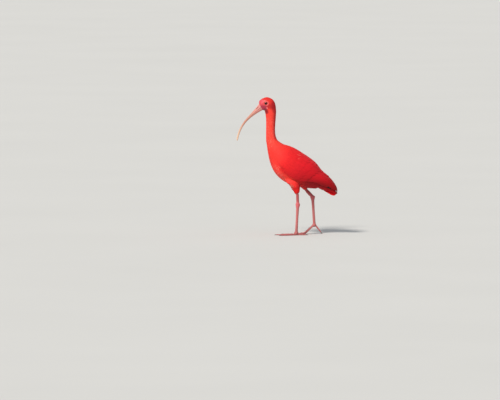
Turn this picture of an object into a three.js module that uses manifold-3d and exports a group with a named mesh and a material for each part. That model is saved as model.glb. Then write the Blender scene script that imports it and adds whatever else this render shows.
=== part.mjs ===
// Scarlet ibis, adult, life size, in mid step: still model.
// Millimetres, +Z up, bill towards -X, left side towards -Y, floor at z = 0, origin under the body.

import * as THREE from 'three';
import { mergeVertices } from 'three/addons/utils/BufferGeometryUtils.js';
import Module from 'manifold-3d';

const wasm = await Module();
wasm.setup();

// Driving dimensions

const GAP = 0.3; // between touching pieces
const MERGE = 1e-3; // corners closer than this are one
const CLEAR = 0.45; // by which a neighbour is swollen before it cuts a piece
const LEFT = -1;
const RIGHT = 1;

const NECK_HALF_WIDTH = { top: 16.2, middle: 14.6, base: 19.5 };
const TORSO_HALF_WIDTH = { base: 19.5, chest: 40, rump: 17 };

const EYE = { x: -73.9, z: 460.6, side: 12.4, radius: 6.6, lidRadius: 5.5, lidThickness: 1.1 };
const BILL = { baseWidth: 19, tipWidth: 5.2, upperShare: 0.58, bluntFrom: 0.965, bluntEnd: 0.62 };
// Corner of the mouth, cut into the cheeks
const GAPE = { x: -91.3, z: 445.4, length: 8, width: 0.8, slope: 0.55 };
const NOSTRIL = { t: 0.075, length: 4.2, width: 1.1, height: 0.55 };

const TARSUS_LENGTH = 98;
const LEG_SIDE = 34; // from the middle plane to each leg
const TOE_RADIUS = 3.3;
const TOE_SPREAD = 0.46; // between the middle toe and each side toe, radians

// Outlines in the middle plane: cubic curves, each from four [x, z] points

const OUTLINE = {
  culmen: [[-98, 458.5], [-127.4, 416.1], [-168.3, 395.9], [-177.6, 329.6]],
  gonys: [[-86.4, 436.1], [-134.8, 409.4], [-162.6, 383.7], [-171.9, 328.8]],
  nape: [[-37.1, 431], [-38.7, 466], [-44.6, 476.3], [-69, 483]],
  forehead: [[-69, 483], [-89.6, 479.1], [-101.6, 470.7], [-98.6, 460]],
  throat: [[-78.4, 431], [-78.6, 434.5], [-81, 436.5], [-86.2, 435.4]],
  neckFront: [[-78.4, 431], [-71.1, 408.9], [-75, 383.1], [-74.4, 331]],
  neckBack: [[-37.1, 431], [-38.8, 387.3], [-46.8, 356.2], [-33.2, 332.8]],
  belly: [[-74.4, 331], [-61.2, 249.7], [-65.5, 164.6], [104, 160]],
  back: [[-33.2, 332.8], [7.3, 297.5], [84, 286], [126, 192]],
  wingEdge: [[-52, 272], [43.7, 138.6], [81.4, 216.7], [171, 150]],
};
const WING_TOP = [
  [-26, 326], [20, 305.5], [62, 280.5], [98, 252.5], [121.8, 224], [153.8, 196.5], [172, 169], [176, 155],
];

const curveOf = ([a, b, c, d]) => new THREE.CubicBezierCurve(
  new THREE.Vector2(...a), new THREE.Vector2(...b), new THREE.Vector2(...c), new THREE.Vector2(...d));

const curves = Object.fromEntries(Object.entries(OUTLINE).map(([name, points]) => [name, curveOf(points)]));
curves.wingTop = new THREE.SplineCurve(WING_TOP.map(([x, z]) => new THREE.Vector2(x, z)));

// Point of an outline curve, t from 0 to 1, in the middle plane
function onOutline(name, t) {
  const { x, y } = curves[name].getPoint(t);
  return new THREE.Vector3(x, 0, y);
}

// Closed bodies

const { lerp } = THREE.MathUtils;
const point = (x, y, z) => new THREE.Vector3(x, y, z);
const SIDEWAYS = point(0, 1, 0);
const UPWARDS = point(0, 0, 1);

// Geometry from corner points and triangles of their indices, faces outwards
function closedGeometry(corners, triangles) {
  const geometry = new THREE.BufferGeometry();
  const coordinates = corners.flatMap((p) => [p.x, p.y, p.z]);
  geometry.setAttribute('position', new THREE.Float32BufferAttribute(coordinates, 3));
  const volume = triangles.reduce((sum, [a, b, c]) =>
    sum + corners[a].dot(corners[b].clone().cross(corners[c])), 0);
  geometry.setIndex((volume < 0 ? triangles.map(([a, b, c]) => [a, c, b]) : triangles).flat());
  return geometry;
}

// Skin through rings of equally many points, closed at both ends by a fan
function loft(rings) {
  const sides = rings[0].length;
  const corners = rings.flat();
  const triangles = [];
  for (let r = 0; r < rings.length - 1; r += 1) {
    for (let k = 0; k < sides; k += 1) {
      const a = r * sides + k;
      const b = r * sides + ((k + 1) % sides);
      triangles.push([a, b, b + sides], [a, b + sides, a + sides]);
    }
  }
  const last = (rings.length - 1) * sides;
  const middle = (ring) => ring.reduce((sum, p) => sum.add(p), point(0, 0, 0)).divideScalar(sides);
  corners.push(middle(rings[0]), middle(rings[rings.length - 1]));
  for (let k = 0; k < sides; k += 1) {
    const next = (k + 1) % sides;
    triangles.push([corners.length - 2, next, k], [corners.length - 1, last + k, last + next]);
  }
  return closedGeometry(corners, triangles);
}

// Thin body between two grids of points, split into triangles alike on both faces
function sheetSolid(outer, inner, rows, columns) {
  const across = columns + 1;
  const corners = [...outer, ...inner];
  const triangles = [];
  const under = outer.length;
  for (let r = 0; r < rows; r += 1) {
    for (let c = 0; c < columns; c += 1) {
      const a = r * across + c;
      triangles.push([a, a + 1, a + across + 1], [a, a + across + 1, a + across]);
      triangles.push([under + a, under + a + across + 1, under + a + 1]);
      triangles.push([under + a, under + a + across, under + a + across + 1]);
    }
  }
  const rim = [];
  for (let c = 0; c < columns; c += 1) rim.push(c);
  for (let r = 0; r < rows; r += 1) rim.push(r * across + columns);
  for (let c = columns; c > 0; c -= 1) rim.push(rows * across + c);
  for (let r = rows; r > 0; r -= 1) rim.push(r * across);
  rim.forEach((a, i) => {
    const b = rim[(i + 1) % rim.length];
    triangles.push([a, under + b, b], [a, under + a, under + b]);
  });
  return closedGeometry(corners, triangles);
}

// Oval ring about a centre, with half axes along two directions
function oval(centre, along, across, sides) {
  return Array.from({ length: sides }, (_, k) => {
    const angle = (2 * Math.PI * k) / sides;
    return centre.clone().addScaledVector(along, Math.cos(angle)).addScaledVector(across, Math.sin(angle));
  });
}

// Ring of the trunk from its front outline to its back outline
function trunkRing(front, back, halfWidth, swell, sides) {
  const centre = front.clone().lerp(back, 0.5);
  const half = back.clone().sub(centre);
  half.setLength(half.length() + swell);
  return oval(centre, half, point(0, halfWidth + swell, 0), sides);
}

const steps = (from, to, count) => Array.from({ length: count + 1 }, (_, i) => lerp(from, to, i / count));
const shifted = (ring, offset) => ring.map((p) => p.clone().add(offset));

// Solids that join and cut

function solidOf(geometry) {
  const bare = geometry.clone();
  bare.deleteAttribute('normal');
  bare.deleteAttribute('uv');
  const merged = mergeVertices(bare, MERGE);
  return new wasm.Manifold(new wasm.Mesh({
    numProp: 3,
    vertProperties: new Float32Array(merged.attributes.position.array),
    triVerts: new Uint32Array(merged.index.array),
  }));
}

function meshOf(solid) {
  const { vertProperties, triVerts } = solid.getMesh();
  const geometry = new THREE.BufferGeometry();
  geometry.setAttribute('position', new THREE.Float32BufferAttribute(vertProperties, 3));
  geometry.setIndex(Array.from(triVerts));
  return geometry;
}

// Geometry of a solid's largest closed surface, without sealed hollows and loose scraps:
// its corners are merged first, so that a hollow behind a hairline crack counts as sealed
function geometryOf(solid) {
  const surfaces = solidOf(meshOf(solid)).decompose();
  const largest = surfaces.reduce((best, surface) => (surface.volume() > best.volume() ? surface : best));
  return largest.numTri() === solid.numTri() ? meshOf(largest) : geometryOf(largest);
}

const joined = (geometries) => geometries.map(solidOf).reduce((sum, solid) => sum.add(solid));

// Materials

const material = (color, roughness) => new THREE.MeshStandardMaterial({ color, roughness, metalness: 0 });
const scarlet = material(0xe0343a, 0.75);
const crimson = material(0xb51b24, 0.7);
const bareSkin = material(0xcc525f, 0.5);
const horn = material(0xc48a78, 0.4);
const darkHorn = material(0x5a3c3a, 0.4);
const eyeBrown = material(0x1a0d0b, 0.1);

const ibis = new THREE.Group();

function place(name, geometry, finish) {
  const mesh = new THREE.Mesh(geometry, finish);
  mesh.name = name;
  ibis.add(mesh);
}

// Neck in two lengths

const NECK_SIDES = 20;
const NECK_CUT = 0.48;

function neckRing(t, swell = 0) {
  const { top, middle, base } = NECK_HALF_WIDTH;
  const width = t < NECK_CUT
    ? lerp(top, middle, THREE.MathUtils.smoothstep(t, 0, NECK_CUT))
    : lerp(middle, base, ((t - NECK_CUT) / (1 - NECK_CUT)) ** 2);
  return trunkRing(onOutline('neckFront', t), onOutline('neckBack', t), width, swell, NECK_SIDES);
}

const below = point(0, 0, -GAP);
place('neck_upper', loft([
  shifted(neckRing(0), below),
  ...steps(0, NECK_CUT, 4).slice(1).map((t) => neckRing(t)),
]), scarlet);
place('neck_lower', loft([
  shifted(neckRing(NECK_CUT), below),
  ...steps(NECK_CUT, 1, 5).slice(1).map((t) => neckRing(t)),
]), scarlet);

// Torso

const TORSO_SIDES = 26;

function torsoHalfWidth(t) {
  const { base, chest, rump } = TORSO_HALF_WIDTH;
  return lerp(base, rump, t) + chest * Math.sin(Math.PI * t ** 1.15);
}

function torsoRing(t, swell = 0) {
  return trunkRing(onOutline('belly', t), onOutline('back', t), torsoHalfWidth(t), swell, TORSO_SIDES);
}

const TORSO_STATIONS = steps(0, 1, 16);
const torsoSwollen = solidOf(loft(TORSO_STATIONS.map((t) => torsoRing(t, CLEAR))));
place('torso', loft([
  shifted(torsoRing(0), below),
  ...TORSO_STATIONS.slice(1).map((t) => torsoRing(t)),
]), scarlet);

// Head: sections that fan about the throat, from the neck to the base of the bill

const HEAD_SIDES = 22;
const CROWN = 0.56; // where the nape curve hands over to the forehead curve

function headHalfWidth(u) {
  const { top } = NECK_HALF_WIDTH;
  const skull = top + 2.2 * Math.sin(Math.PI * Math.min(u / 0.7, 1));
  const face = THREE.MathUtils.smoothstep(u, 0.62, 1);
  return lerp(skull, BILL.baseWidth / 2 + 0.9, face);
}

function headRing(u) {
  const over = u < CROWN ? onOutline('nape', u / CROWN) : onOutline('forehead', (u - CROWN) / (1 - CROWN));
  return trunkRing(onOutline('throat', u), over, headHalfWidth(u), 0, HEAD_SIDES);
}

function eyeCentre(side) {
  return point(EYE.x, side * EYE.side, EYE.z);
}

function lid(side) {
  const ring = new THREE.TorusGeometry(EYE.lidRadius, EYE.lidThickness, 6, 16);
  ring.scale(1.06, 0.94, 1);
  ring.rotateX(Math.PI / 2);
  return ring.translate(EYE.x, side * (EYE.side + 4.4), EYE.z);
}

function headSolid() {
  const skull = loft(steps(0, 1, 14).map(headRing));
  let head = joined([skull, lid(LEFT), lid(RIGHT)]);
  for (const side of [LEFT, RIGHT]) {
    const socket = new THREE.SphereGeometry(EYE.radius + GAP, 14, 10);
    socket.translate(...eyeCentre(side).toArray());
    head = head.subtract(solidOf(socket));
  }
  const gape = new THREE.BoxGeometry(2 * GAPE.length, 60, GAPE.width);
  gape.rotateY(GAPE.slope);
  gape.translate(GAPE.x, 0, GAPE.z);
  return head.subtract(solidOf(gape));
}

place('head', geometryOf(headSolid()), scarlet);

for (const [side, name] of [[LEFT, 'eye_left'], [RIGHT, 'eye_right']]) {
  const eye = new THREE.SphereGeometry(EYE.radius, 14, 10);
  eye.translate(...eyeCentre(side).toArray());
  place(name, mergeVertices(eye.deleteAttribute('normal').deleteAttribute('uv')), eyeBrown);
}

// Bill: two halves that meet along the line of the mouth

const BILL_ARC = 12;
const BILL_STATIONS = [...steps(0, BILL.bluntFrom, 13), 1];

function billAxes(t) {
  const culmen = onOutline('culmen', t);
  const gonys = onOutline('gonys', t);
  const mouth = culmen.clone().lerp(gonys, BILL.upperShare);
  return { culmen, gonys, mouth };
}

const billWidth = (t) => lerp(BILL.baseWidth, BILL.tipWidth, t ** 0.55);

// D-shaped ring, flat along the mouth and round towards the ridge or the keel
function halfBillRing(mouth, edge, width, share, arc) {
  const rise = edge.clone().sub(mouth);
  const start = mouth.clone().addScaledVector(rise.clone().normalize(), GAP / 2);
  rise.setLength(share * rise.length() - GAP / 2);
  return Array.from({ length: arc + 1 }, (_, k) => {
    const angle = (Math.PI * k) / arc;
    return start.clone().addScaledVector(rise, Math.sin(angle) ** 0.9)
      .addScaledVector(SIDEWAYS, (Math.cos(angle) * width * share) / 2);
  });
}

const billForward = (() => {
  const { culmen, gonys } = billAxes(0);
  return culmen.sub(gonys).cross(SIDEWAYS).setLength(GAP);
})();

function halfBill(edgeName) {
  const rings = BILL_STATIONS.map((t) => {
    const axes = billAxes(t);
    const share = t > BILL.bluntFrom ? BILL.bluntEnd : 1;
    return shifted(halfBillRing(axes.mouth, axes[edgeName], billWidth(t), share, BILL_ARC), billForward);
  });
  return loft(rings);
}

// Slits near the base of the upper half, one on each side
function nostrils() {
  const { culmen, mouth } = billAxes(NOSTRIL.t);
  const along = billAxes(NOSTRIL.t + 0.03).culmen.sub(billAxes(NOSTRIL.t - 0.03).culmen);
  return [LEFT, RIGHT].map((side) => {
    const slit = new THREE.SphereGeometry(1, 8, 6).scale(NOSTRIL.length, NOSTRIL.width * 1.6, NOSTRIL.width);
    slit.rotateY(Math.atan2(-along.z, along.x));
    const centre = mouth.clone().lerp(culmen, NOSTRIL.height);
    return slit.translate(centre.x, side * billWidth(NOSTRIL.t) * 0.43, centre.z);
  });
}

place('bill_upper', geometryOf(solidOf(halfBill('culmen')).subtract(joined(nostrils()))), horn);
place('bill_lower', halfBill('gonys'), horn);

// Wings: a sheet that wraps the side of the body, from the ridge of the back down to the wing's lower edge

const WING_SIDE = [48, 86, 36, 14]; // half width over the wings, as a cubic from the wrist to the tip
const WING_WRAP = { wrist: 2.13, tip: 1.66 }; // angle of the lower edge, radians from the back's ridge

// Place on the lower edge that faces s on the ridge, so that sections stand square to the feathers' lie
const edgeShare = (s) => s ** 1.15 + 1.2 * s ** 3 * (1 - s);

function cubic([a, b, c, d], t) {
  const r = 1 - t;
  return a * r * r * r + 3 * b * r * r * t + 3 * c * r * t * t + d * t * t * t;
}

// Point of the sheet: s from wrist to tip, share from 0 on the back's ridge to 1 at the lower edge
function onWing(side, s, share) {
  const top = onOutline('wingTop', s);
  const edge = onOutline('wingEdge', edgeShare(s));
  const wrap = lerp(WING_WRAP.wrist, WING_WRAP.tip, s);
  const angle = wrap * share;
  const centre = edge.clone().addScaledVector(top, -Math.cos(wrap)).divideScalar(1 - Math.cos(wrap));
  const p = centre.clone().lerp(top, Math.cos(angle));
  p.y = side * cubic(WING_SIDE, s) * Math.sin(angle);
  return p;
}

function wingNormal(side, s, anyShare) {
  const step = 0.01;
  const share = Math.max(anyShare, 0.03);
  const ahead = onWing(side, Math.min(s + step, 1), share);
  const alongWing = ahead.sub(onWing(side, Math.max(s - step, 0), share));
  const downWing = onWing(side, s, share + step).sub(onWing(side, s, share - step));
  const normal = alongWing.cross(downWing).normalize();
  return normal.y * side < 0 ? normal.negate() : normal;
}

// Upper border of the wing: down the shoulder at the wrist, on the ridge of the back further on
const wingBorder = (s) => lerp(0.4, 0, THREE.MathUtils.smoothstep(s, 0, 0.28));

const CORE = {
  stations: [0, 0.05, 0.1, 0.16, 0.22, 0.27, 0.34, 0.4, 0.45, 0.53, 0.62, 0.71, 0.8], rows: 7, depth: 9,
};
const TIER_STEP = 1.2; // by which the core falls where the next tier of feathers starts

function coreHeight(s) {
  const { smoothstep } = THREE.MathUtils;
  return TIER_STEP * (1 - smoothstep(s, 0.22, 0.27) - smoothstep(s, 0.4, 0.45));
}

function wingCore(side) {
  const outer = [];
  const inner = [];
  const end = CORE.stations[CORE.stations.length - 1];
  for (const s of CORE.stations) {
    for (const row of steps(0, 1, CORE.rows)) {
      const share = lerp(wingBorder(s), 1, row);
      const rim = Math.min(s / 0.1, (1 - s / end) / 0.3 + 0.3, (1 - row) / 0.12 + 0.25, 1);
      const settle = 5 * (1 - Math.min(s / 0.1, 1)) + 2 * (1 - Math.min((1 - row) / 0.12, 1));
      outer.push(onSheet(side, s, share, coreHeight(s) - settle));
      inner.push(onSheet(side, s, share, coreHeight(s) - settle - 0.8 - CORE.depth * rim));
    }
  }
  return sheetSolid(outer, inner, CORE.stations.length - 1, CORE.rows);
}

// Point above or below the sheet, kept on its own side of the middle plane
function onSheet(side, s, share, height) {
  const p = onWing(side, s, share).addScaledVector(wingNormal(side, s, share), height);
  p.y = side * Math.max(p.y * side, GAP);
  return p;
}

// Tiers of feathers, each lying on the next one outwards: count, shares of the first and last shaft,
// s of the first and last root and tip, and the height of the vanes' undersides where they leave the core
// and at their tips
const TIERS = [
  { name: 'primaries', count: 3, shares: [0.86, 0.98], roots: [0.6, 0.6], tips: [0.93, 0.87],
    under: [-3.4, -3.2] },
  { name: 'secondaries', count: 7, shares: [0.5, 0.97], roots: [0.425, 0.425], tips: [0.965, 0.8],
    under: [-0.3, -0.3] },
  { name: 'tertials', count: 4, shares: [0.07, 0.42], roots: [0.425, 0.425], tips: [0.995, 0.975],
    under: [-0.3, -0.3] },
  { name: 'greater coverts', count: 9, shares: [0.06, 0.94], roots: [0.25, 0.245], tips: [0.56, 0.51],
    under: [0.9, 1.7] },
  { name: 'median coverts', count: 7, shares: [0.2, 0.93], roots: [0.13, 0.13], tips: [0.36, 0.31],
    under: [2.1, 2.9] },
];
const VANE = { thickness: 0.5, lap: 0.8, reach: 0.75, sunk: 3, dive: 0.025, step: 0.13, rise: 0.18 };

// One vane: rows at the same steps and columns at the same spacing as its neighbours', so that
// the faces of vanes that overlap run side by side
function feather(side, under, share, pitch, root, tip) {
  const emerge = root + VANE.dive;
  const rows = [root, emerge];
  for (let s = emerge + VANE.step; s < tip - 0.06; s += VANE.step) rows.push(s);
  rows.push(tip - 0.02, tip);
  const outer = [];
  const inner = [];
  rows.forEach((s, i) => {
    const width = VANE.reach * (i === rows.length - 1 ? 0.35 : (i < 2 ? 0.6 : 1));
    const height = i === 0 ? under[0] - VANE.sunk : lerp(...under, Math.min((s - emerge) / VANE.rise, 1));
    for (const across of [-width, 0, width]) {
      inner.push(onSheet(side, s, share + across * pitch, height + VANE.lap * across));
      outer.push(onSheet(side, s, share + across * pitch, height + VANE.lap * across + VANE.thickness));
    }
  });
  return sheetSolid(outer, inner, rows.length - 1, 2);
}

function feathers(side) {
  return TIERS.flatMap(({ count, shares, roots, tips, under }) => {
    const pitch = (shares[1] - shares[0]) / (count - 1);
    return steps(0, 1, count - 1).map((place) =>
      feather(side, under, lerp(...shares, place), pitch, lerp(...roots, place), lerp(...tips, place)));
  });
}

for (const [side, name] of [[LEFT, 'wing_left'], [RIGHT, 'wing_right']]) {
  const wing = joined([wingCore(side), ...feathers(side)]).subtract(torsoSwollen);
  place(name, geometryOf(wing), crimson);
}

// Tail: folded, twelve feathers in a low stack on a stub that carries on the rump

const TAIL = {
  droop: 0.48, length: 69, pairs: 6, spread: 0.033, halfWidth: 7.6, layer: 1.3, thickness: 0.5, roof: 0.42,
};

const rumpLow = onOutline('belly', 1);
const rumpTop = onOutline('back', 1);
const rumpOut = rumpTop.clone().sub(rumpLow).cross(SIDEWAYS).negate().normalize();
const tailAlong = point(Math.cos(TAIL.droop), 0, -Math.sin(TAIL.droop));
const tailUp = point(Math.sin(TAIL.droop), 0, Math.cos(TAIL.droop));
const tailRoot = rumpLow.clone().lerp(rumpTop, 0.5);

// Place on the tail: how far along, to the side and above its top feather; the sides hang like a roof's
function onTail(along, aside, above) {
  const fall = TAIL.roof * (Math.hypot(aside, 12) - 12);
  return tailRoot.clone().addScaledVector(tailAlong, along).addScaledVector(SIDEWAYS, aside)
    .addScaledVector(tailUp, above - fall + 2.4);
}

function tailStub() {
  const section = (along, above, half, width) =>
    oval(onTail(along, 0, above), tailUp.clone().multiplyScalar(half), point(0, width, 0), TORSO_SIDES);
  return loft([
    shifted(torsoRing(1), rumpOut.clone().multiplyScalar(GAP)),
    section(15, -4, 14, 18),
    section(29, -4, 9, 16.5),
    section(42, -4, 5, 14),
  ]);
}

function tailFeather(side, pair) {
  const level = pair < 3 ? 2 * pair + (side === RIGHT ? 1 : 0) : pair + 3;
  const turn = side * TAIL.spread * (pair + 0.4);
  const length = TAIL.length - pair;
  const top = [];
  const under = [];
  for (const [share, width] of [[0.16, 0.6], [0.45, 0.85], [0.75, 1], [0.95, 0.92], [1, 0.35]]) {
    for (const across of [-1, 0, 1]) {
      const along = length * share;
      const aside = across * width * TAIL.halfWidth;
      const run = along * Math.cos(turn) - aside * Math.sin(turn);
      const out = along * Math.sin(turn) + aside * Math.cos(turn);
      top.push(onTail(run, out, -TAIL.layer * level));
      under.push(onTail(run, out, -TAIL.layer * level - TAIL.thickness));
    }
  }
  return sheetSolid(top, under, 4, 2);
}

const tailFeathers = steps(0, TAIL.pairs - 1, TAIL.pairs - 1)
  .flatMap((pair) => [tailFeather(LEFT, pair), tailFeather(RIGHT, pair)]);
place('tail', geometryOf(joined([tailStub(), ...tailFeathers])), crimson);

// Legs

// Tapering limb through stations of [centre, half depth along X, half width along Y]
function limb(stations, sides) {
  return loft(stations.map(([centre, depth, width]) =>
    oval(centre, point(depth, 0, 0), point(0, width, 0), sides)));
}

const LEGS = {
  left: {
    side: LEFT, hock: point(37.5, 0, 106.4), toeJoint: point(32.5, 0, 8.4),
    thigh: [[18, 192, 25, 16], [21.5, 178, 22.5, 16], [28.7, 166, 17.5, 14], [33.2, 154, 10.8, 10.5],
      [35, 146, 7.8, 7.8], [36.4, 139, 6.1, 6]],
  },
  right: {
    side: RIGHT, hock: point(90, 0, 129), toeJoint: point(96, 0, 31.2),
    thigh: [[36, 194, 25, 16], [44, 182, 20, 16], [54, 170, 14.5, 12.5], [62, 161, 10.8, 9.5],
      [68, 154.5, 8.2, 6.4]],
  },
};
const LEG_SIDES = 14;
const SHANK_RADIUS = 5.1;
const HOCK = { depth: 8.1, width: 6, reach: 9 };

// Its level sections are deeper where it leans
function shankGeometry(top, hock) {
  const length = hock.distanceTo(top);
  const depth = (SHANK_RADIUS * length) / (top.z - hock.z);
  return limb([
    [top, depth, SHANK_RADIUS * 0.9],
    [hock.clone().lerp(top, HOCK.reach / length), depth, SHANK_RADIUS * 0.95],
    [hock.clone().add(point(0, 0, 3)), HOCK.depth - 0.6, HOCK.width],
    [hock.clone().add(point(0, 0, GAP / 2)), HOCK.depth, HOCK.width],
  ], LEG_SIDES);
}

function tarsusGeometry(hock, joint, low) {
  return limb([
    [hock.clone().add(point(0, 0, -GAP / 2)), HOCK.depth, HOCK.width],
    [hock.clone().add(point(0, 0, -4)), HOCK.depth - 0.8, HOCK.width - 0.4],
    [hock.clone().lerp(joint, 0.12), 5.3, 4.6],
    [hock.clone().lerp(joint, 0.5), 4.6, 3.9],
    [hock.clone().lerp(joint, 0.88), 4.8, 4.4],
    [low, 5.2, 5.2],
  ], LEG_SIDES);
}

function placeLeg(name, leg) {
  const y = leg.side * LEG_SIDE;
  const hock = leg.hock.clone().setY(y);
  const joint = leg.toeJoint.clone().setY(y);
  const thigh = limb(leg.thigh.map(([x, z, depth, width]) => [point(x, y, z), depth, width]), 18);
  place(`thigh_${name}`, geometryOf(solidOf(thigh).subtract(torsoSwollen)), scarlet);

  const [kneeX, kneeZ] = leg.thigh[leg.thigh.length - 1];
  const low = joint.clone().lerp(hock, 6 / TARSUS_LENGTH);
  place(`shank_${name}`, shankGeometry(point(kneeX, y, kneeZ - GAP), hock), bareSkin);
  place(`tarsus_${name}`, tarsusGeometry(hock, joint, low), bareSkin);
  placeFoot(name, leg.side, joint, low);
}

// Feet: a pad under the leg, three toes forward and one back with a claw on each;
// the raised foot stands on its front toes

const TOES = [
  { finger: 'middle', turn: 0, length: 66 },
  { finger: 'inner', turn: -1, length: 49 },
  { finger: 'outer', turn: 1, length: 56 },
  { finger: 'hind', turn: 0, length: 30 },
];
const TOE = {
  steps: 7, sides: 9, start: 3.5, aside: 7.2, taper: 0.62, joints: 3, bulge: 0.09, flatten: 0.8,
};
const TOE_FALL = { front: 0.72, hind: 0.9 }; // slope of the raised foot's toes, radians
const CLAW = { steps: 3, sides: 8, length: 8, tip: 0.5, sole: 0.05, hang: 1.5 };

function padGeometry(joint, top, swell) {
  const raised = joint.z > 15;
  const sole = raised ? joint.clone().add(point(-5, 0, -6)) : joint.clone().setZ(0);
  return limb([
    [top.clone().add(point(0, 0, swell - GAP)), 5 + swell, 5.2 + swell],
    [joint.clone().add(point(0, 0, 2)), 7 + swell, 8.6 + swell],
    [joint.clone().add(point(-1, 0, -3)), 7.4 + swell, 9.4 + swell],
    [sole.add(point(0, 0, -swell)), 6 + swell, 7.6 + swell],
  ], 18);
}

// Stations along a toe; where it slopes, it runs down to the floor and then flat along it
function toePath(start, away, length, slope) {
  return steps(0, 1, TOE.steps).map((share) => {
    const bulge = 1 + TOE.bulge * Math.cos(share * Math.PI * 2 * TOE.joints);
    const radius = TOE_RADIUS * lerp(1, TOE.taper, share) * bulge;
    const rest = radius * TOE.flatten;
    const sloped = slope > 0 ? Math.min(length * share, (start.z - rest) / Math.sin(slope)) : 0;
    const p = start.clone().addScaledVector(away, sloped * Math.cos(slope) + length * share - sloped);
    p.z = slope > 0 ? start.z - sloped * Math.sin(slope) : rest;
    return { p, radius };
  });
}

// Ring round a toe, flat where it touches the floor
function toeRing({ p, radius }, i, path) {
  const before = path[Math.max(i - 1, 0)].p;
  const after = path[Math.min(i + 1, path.length - 1)].p;
  const along = after.clone().sub(before).normalize();
  const across = along.clone().cross(UPWARDS).normalize();
  const up = across.clone().cross(along);
  return oval(p, up.multiplyScalar(radius), across.multiplyScalar(radius), TOE.sides)
    .map((corner) => corner.setZ(Math.max(corner.z, 0)));
}

function clawGeometry(path, hanging) {
  const last = path[path.length - 1];
  const along = last.p.clone().sub(path[path.length - 2].p).normalize();
  const across = along.clone().cross(UPWARDS).normalize();
  return loft(steps(0, 1, CLAW.steps).map((share) => {
    const p = last.p.clone().addScaledVector(along, GAP + CLAW.length * share);
    p.z += hanging ? -CLAW.hang * share : lerp(0.4, -last.p.z + 0.75, share ** 1.5);
    const radius = lerp(last.radius * 0.8, CLAW.tip, share);
    const rise = along.clone().cross(across).multiplyScalar(radius);
    return oval(p, rise, across.clone().multiplyScalar(radius * 0.75), CLAW.sides)
      .map((corner) => corner.setZ(Math.max(corner.z, CLAW.sole)));
  }));
}

function placeFoot(name, side, joint, top) {
  const raised = joint.z > 15;
  place(`foot_${name}`, padGeometry(joint, top, 0), bareSkin);
  const padSwollen = solidOf(padGeometry(joint, top, GAP));
  for (const { finger, turn, length } of TOES) {
    const hind = finger === 'hind';
    const yaw = hind ? Math.PI : side * turn * TOE_SPREAD;
    const away = point(-Math.cos(yaw), Math.sin(yaw), 0);
    const start = joint.clone().add(point(0, side * turn * TOE.aside, 0)).addScaledVector(away, TOE.start);
    const slope = raised ? TOE_FALL[hind ? 'hind' : 'front'] : 0;
    const path = toePath(start, away, length, slope);
    const toe = loft(path.map(toeRing));
    place(`toe_${finger}_${name}`, geometryOf(solidOf(toe).subtract(padSwollen)), bareSkin);
    place(`claw_${finger}_${name}`, clawGeometry(path, raised && hind), darkHorn);
  }
}

for (const [name, leg] of Object.entries(LEGS)) placeLeg(name, leg);

export default ibis;
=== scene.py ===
"""Scarlet ibis in mid step: the looks of a life-size still model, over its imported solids.

Sizes are in millimetres and angles in radians unless a name says otherwise; meshes are made in metres.
The bird faces -X, its left side is towards -Y, and the floor is at z = 0.
"""

import math
from contextlib import contextmanager

import bmesh
import bpy
import numpy as np
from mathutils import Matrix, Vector
from mathutils.bvhtree import BVHTree
from mathutils.kdtree import KDTree


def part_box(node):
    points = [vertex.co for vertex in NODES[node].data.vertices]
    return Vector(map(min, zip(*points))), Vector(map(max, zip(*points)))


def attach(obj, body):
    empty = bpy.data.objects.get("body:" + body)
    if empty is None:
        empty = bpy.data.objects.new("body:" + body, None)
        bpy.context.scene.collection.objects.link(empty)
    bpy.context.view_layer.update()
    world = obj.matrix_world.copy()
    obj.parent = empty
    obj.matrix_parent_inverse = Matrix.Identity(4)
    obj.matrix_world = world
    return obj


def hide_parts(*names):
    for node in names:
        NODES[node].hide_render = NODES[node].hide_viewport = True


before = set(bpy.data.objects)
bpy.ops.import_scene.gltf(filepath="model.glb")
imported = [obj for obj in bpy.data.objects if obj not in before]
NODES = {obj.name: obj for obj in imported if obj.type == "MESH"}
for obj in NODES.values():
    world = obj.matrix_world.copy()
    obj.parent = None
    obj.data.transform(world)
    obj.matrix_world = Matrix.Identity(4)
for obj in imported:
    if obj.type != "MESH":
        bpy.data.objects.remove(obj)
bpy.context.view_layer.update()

MM = 0.001
LEFT, RIGHT = -1, 1
random = np.random.default_rng(11)

# Driving dimensions, as in the solids

CULMEN = [(-98, 458.5), (-127.4, 416.1), (-168.3, 395.9), (-177.6, 329.6)]
GONYS = [(-86.4, 436.1), (-134.8, 409.4), (-162.6, 383.7), (-171.9, 328.8)]
BILL = {"base": 19, "tip": 5.2, "mouth": 0.58, "lips": 0.3, "blunt_from": 0.955, "blunt": 0.93,
        "narrowing": 0.55, "roundness": 0.9, "stations": [(0, 0.15, 34), (0.16, 0.94, 56), (0.95, 1, 10)],
        "sides": 61}
EYE = {"x": -73.9, "z": 460.6, "side": 12.4, "radius": 6.6, "long": 1.16, "high": 0.93, "tilt": 0.4}

WING_TOP = [
    (-26, 326), (20, 305.5), (62, 280.5), (98, 252.5), (121.8, 224), (153.8, 196.5), (173, 169), (176.5, 151),
]
WING_EDGE = [(-52, 272), (43.7, 146.6), (81.4, 224.7), (171, 148)]
WING_SIDE = [48, 86, 36, 14]
WING_WRAP = {"wrist": 2.13, "tip": 1.66}

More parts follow.
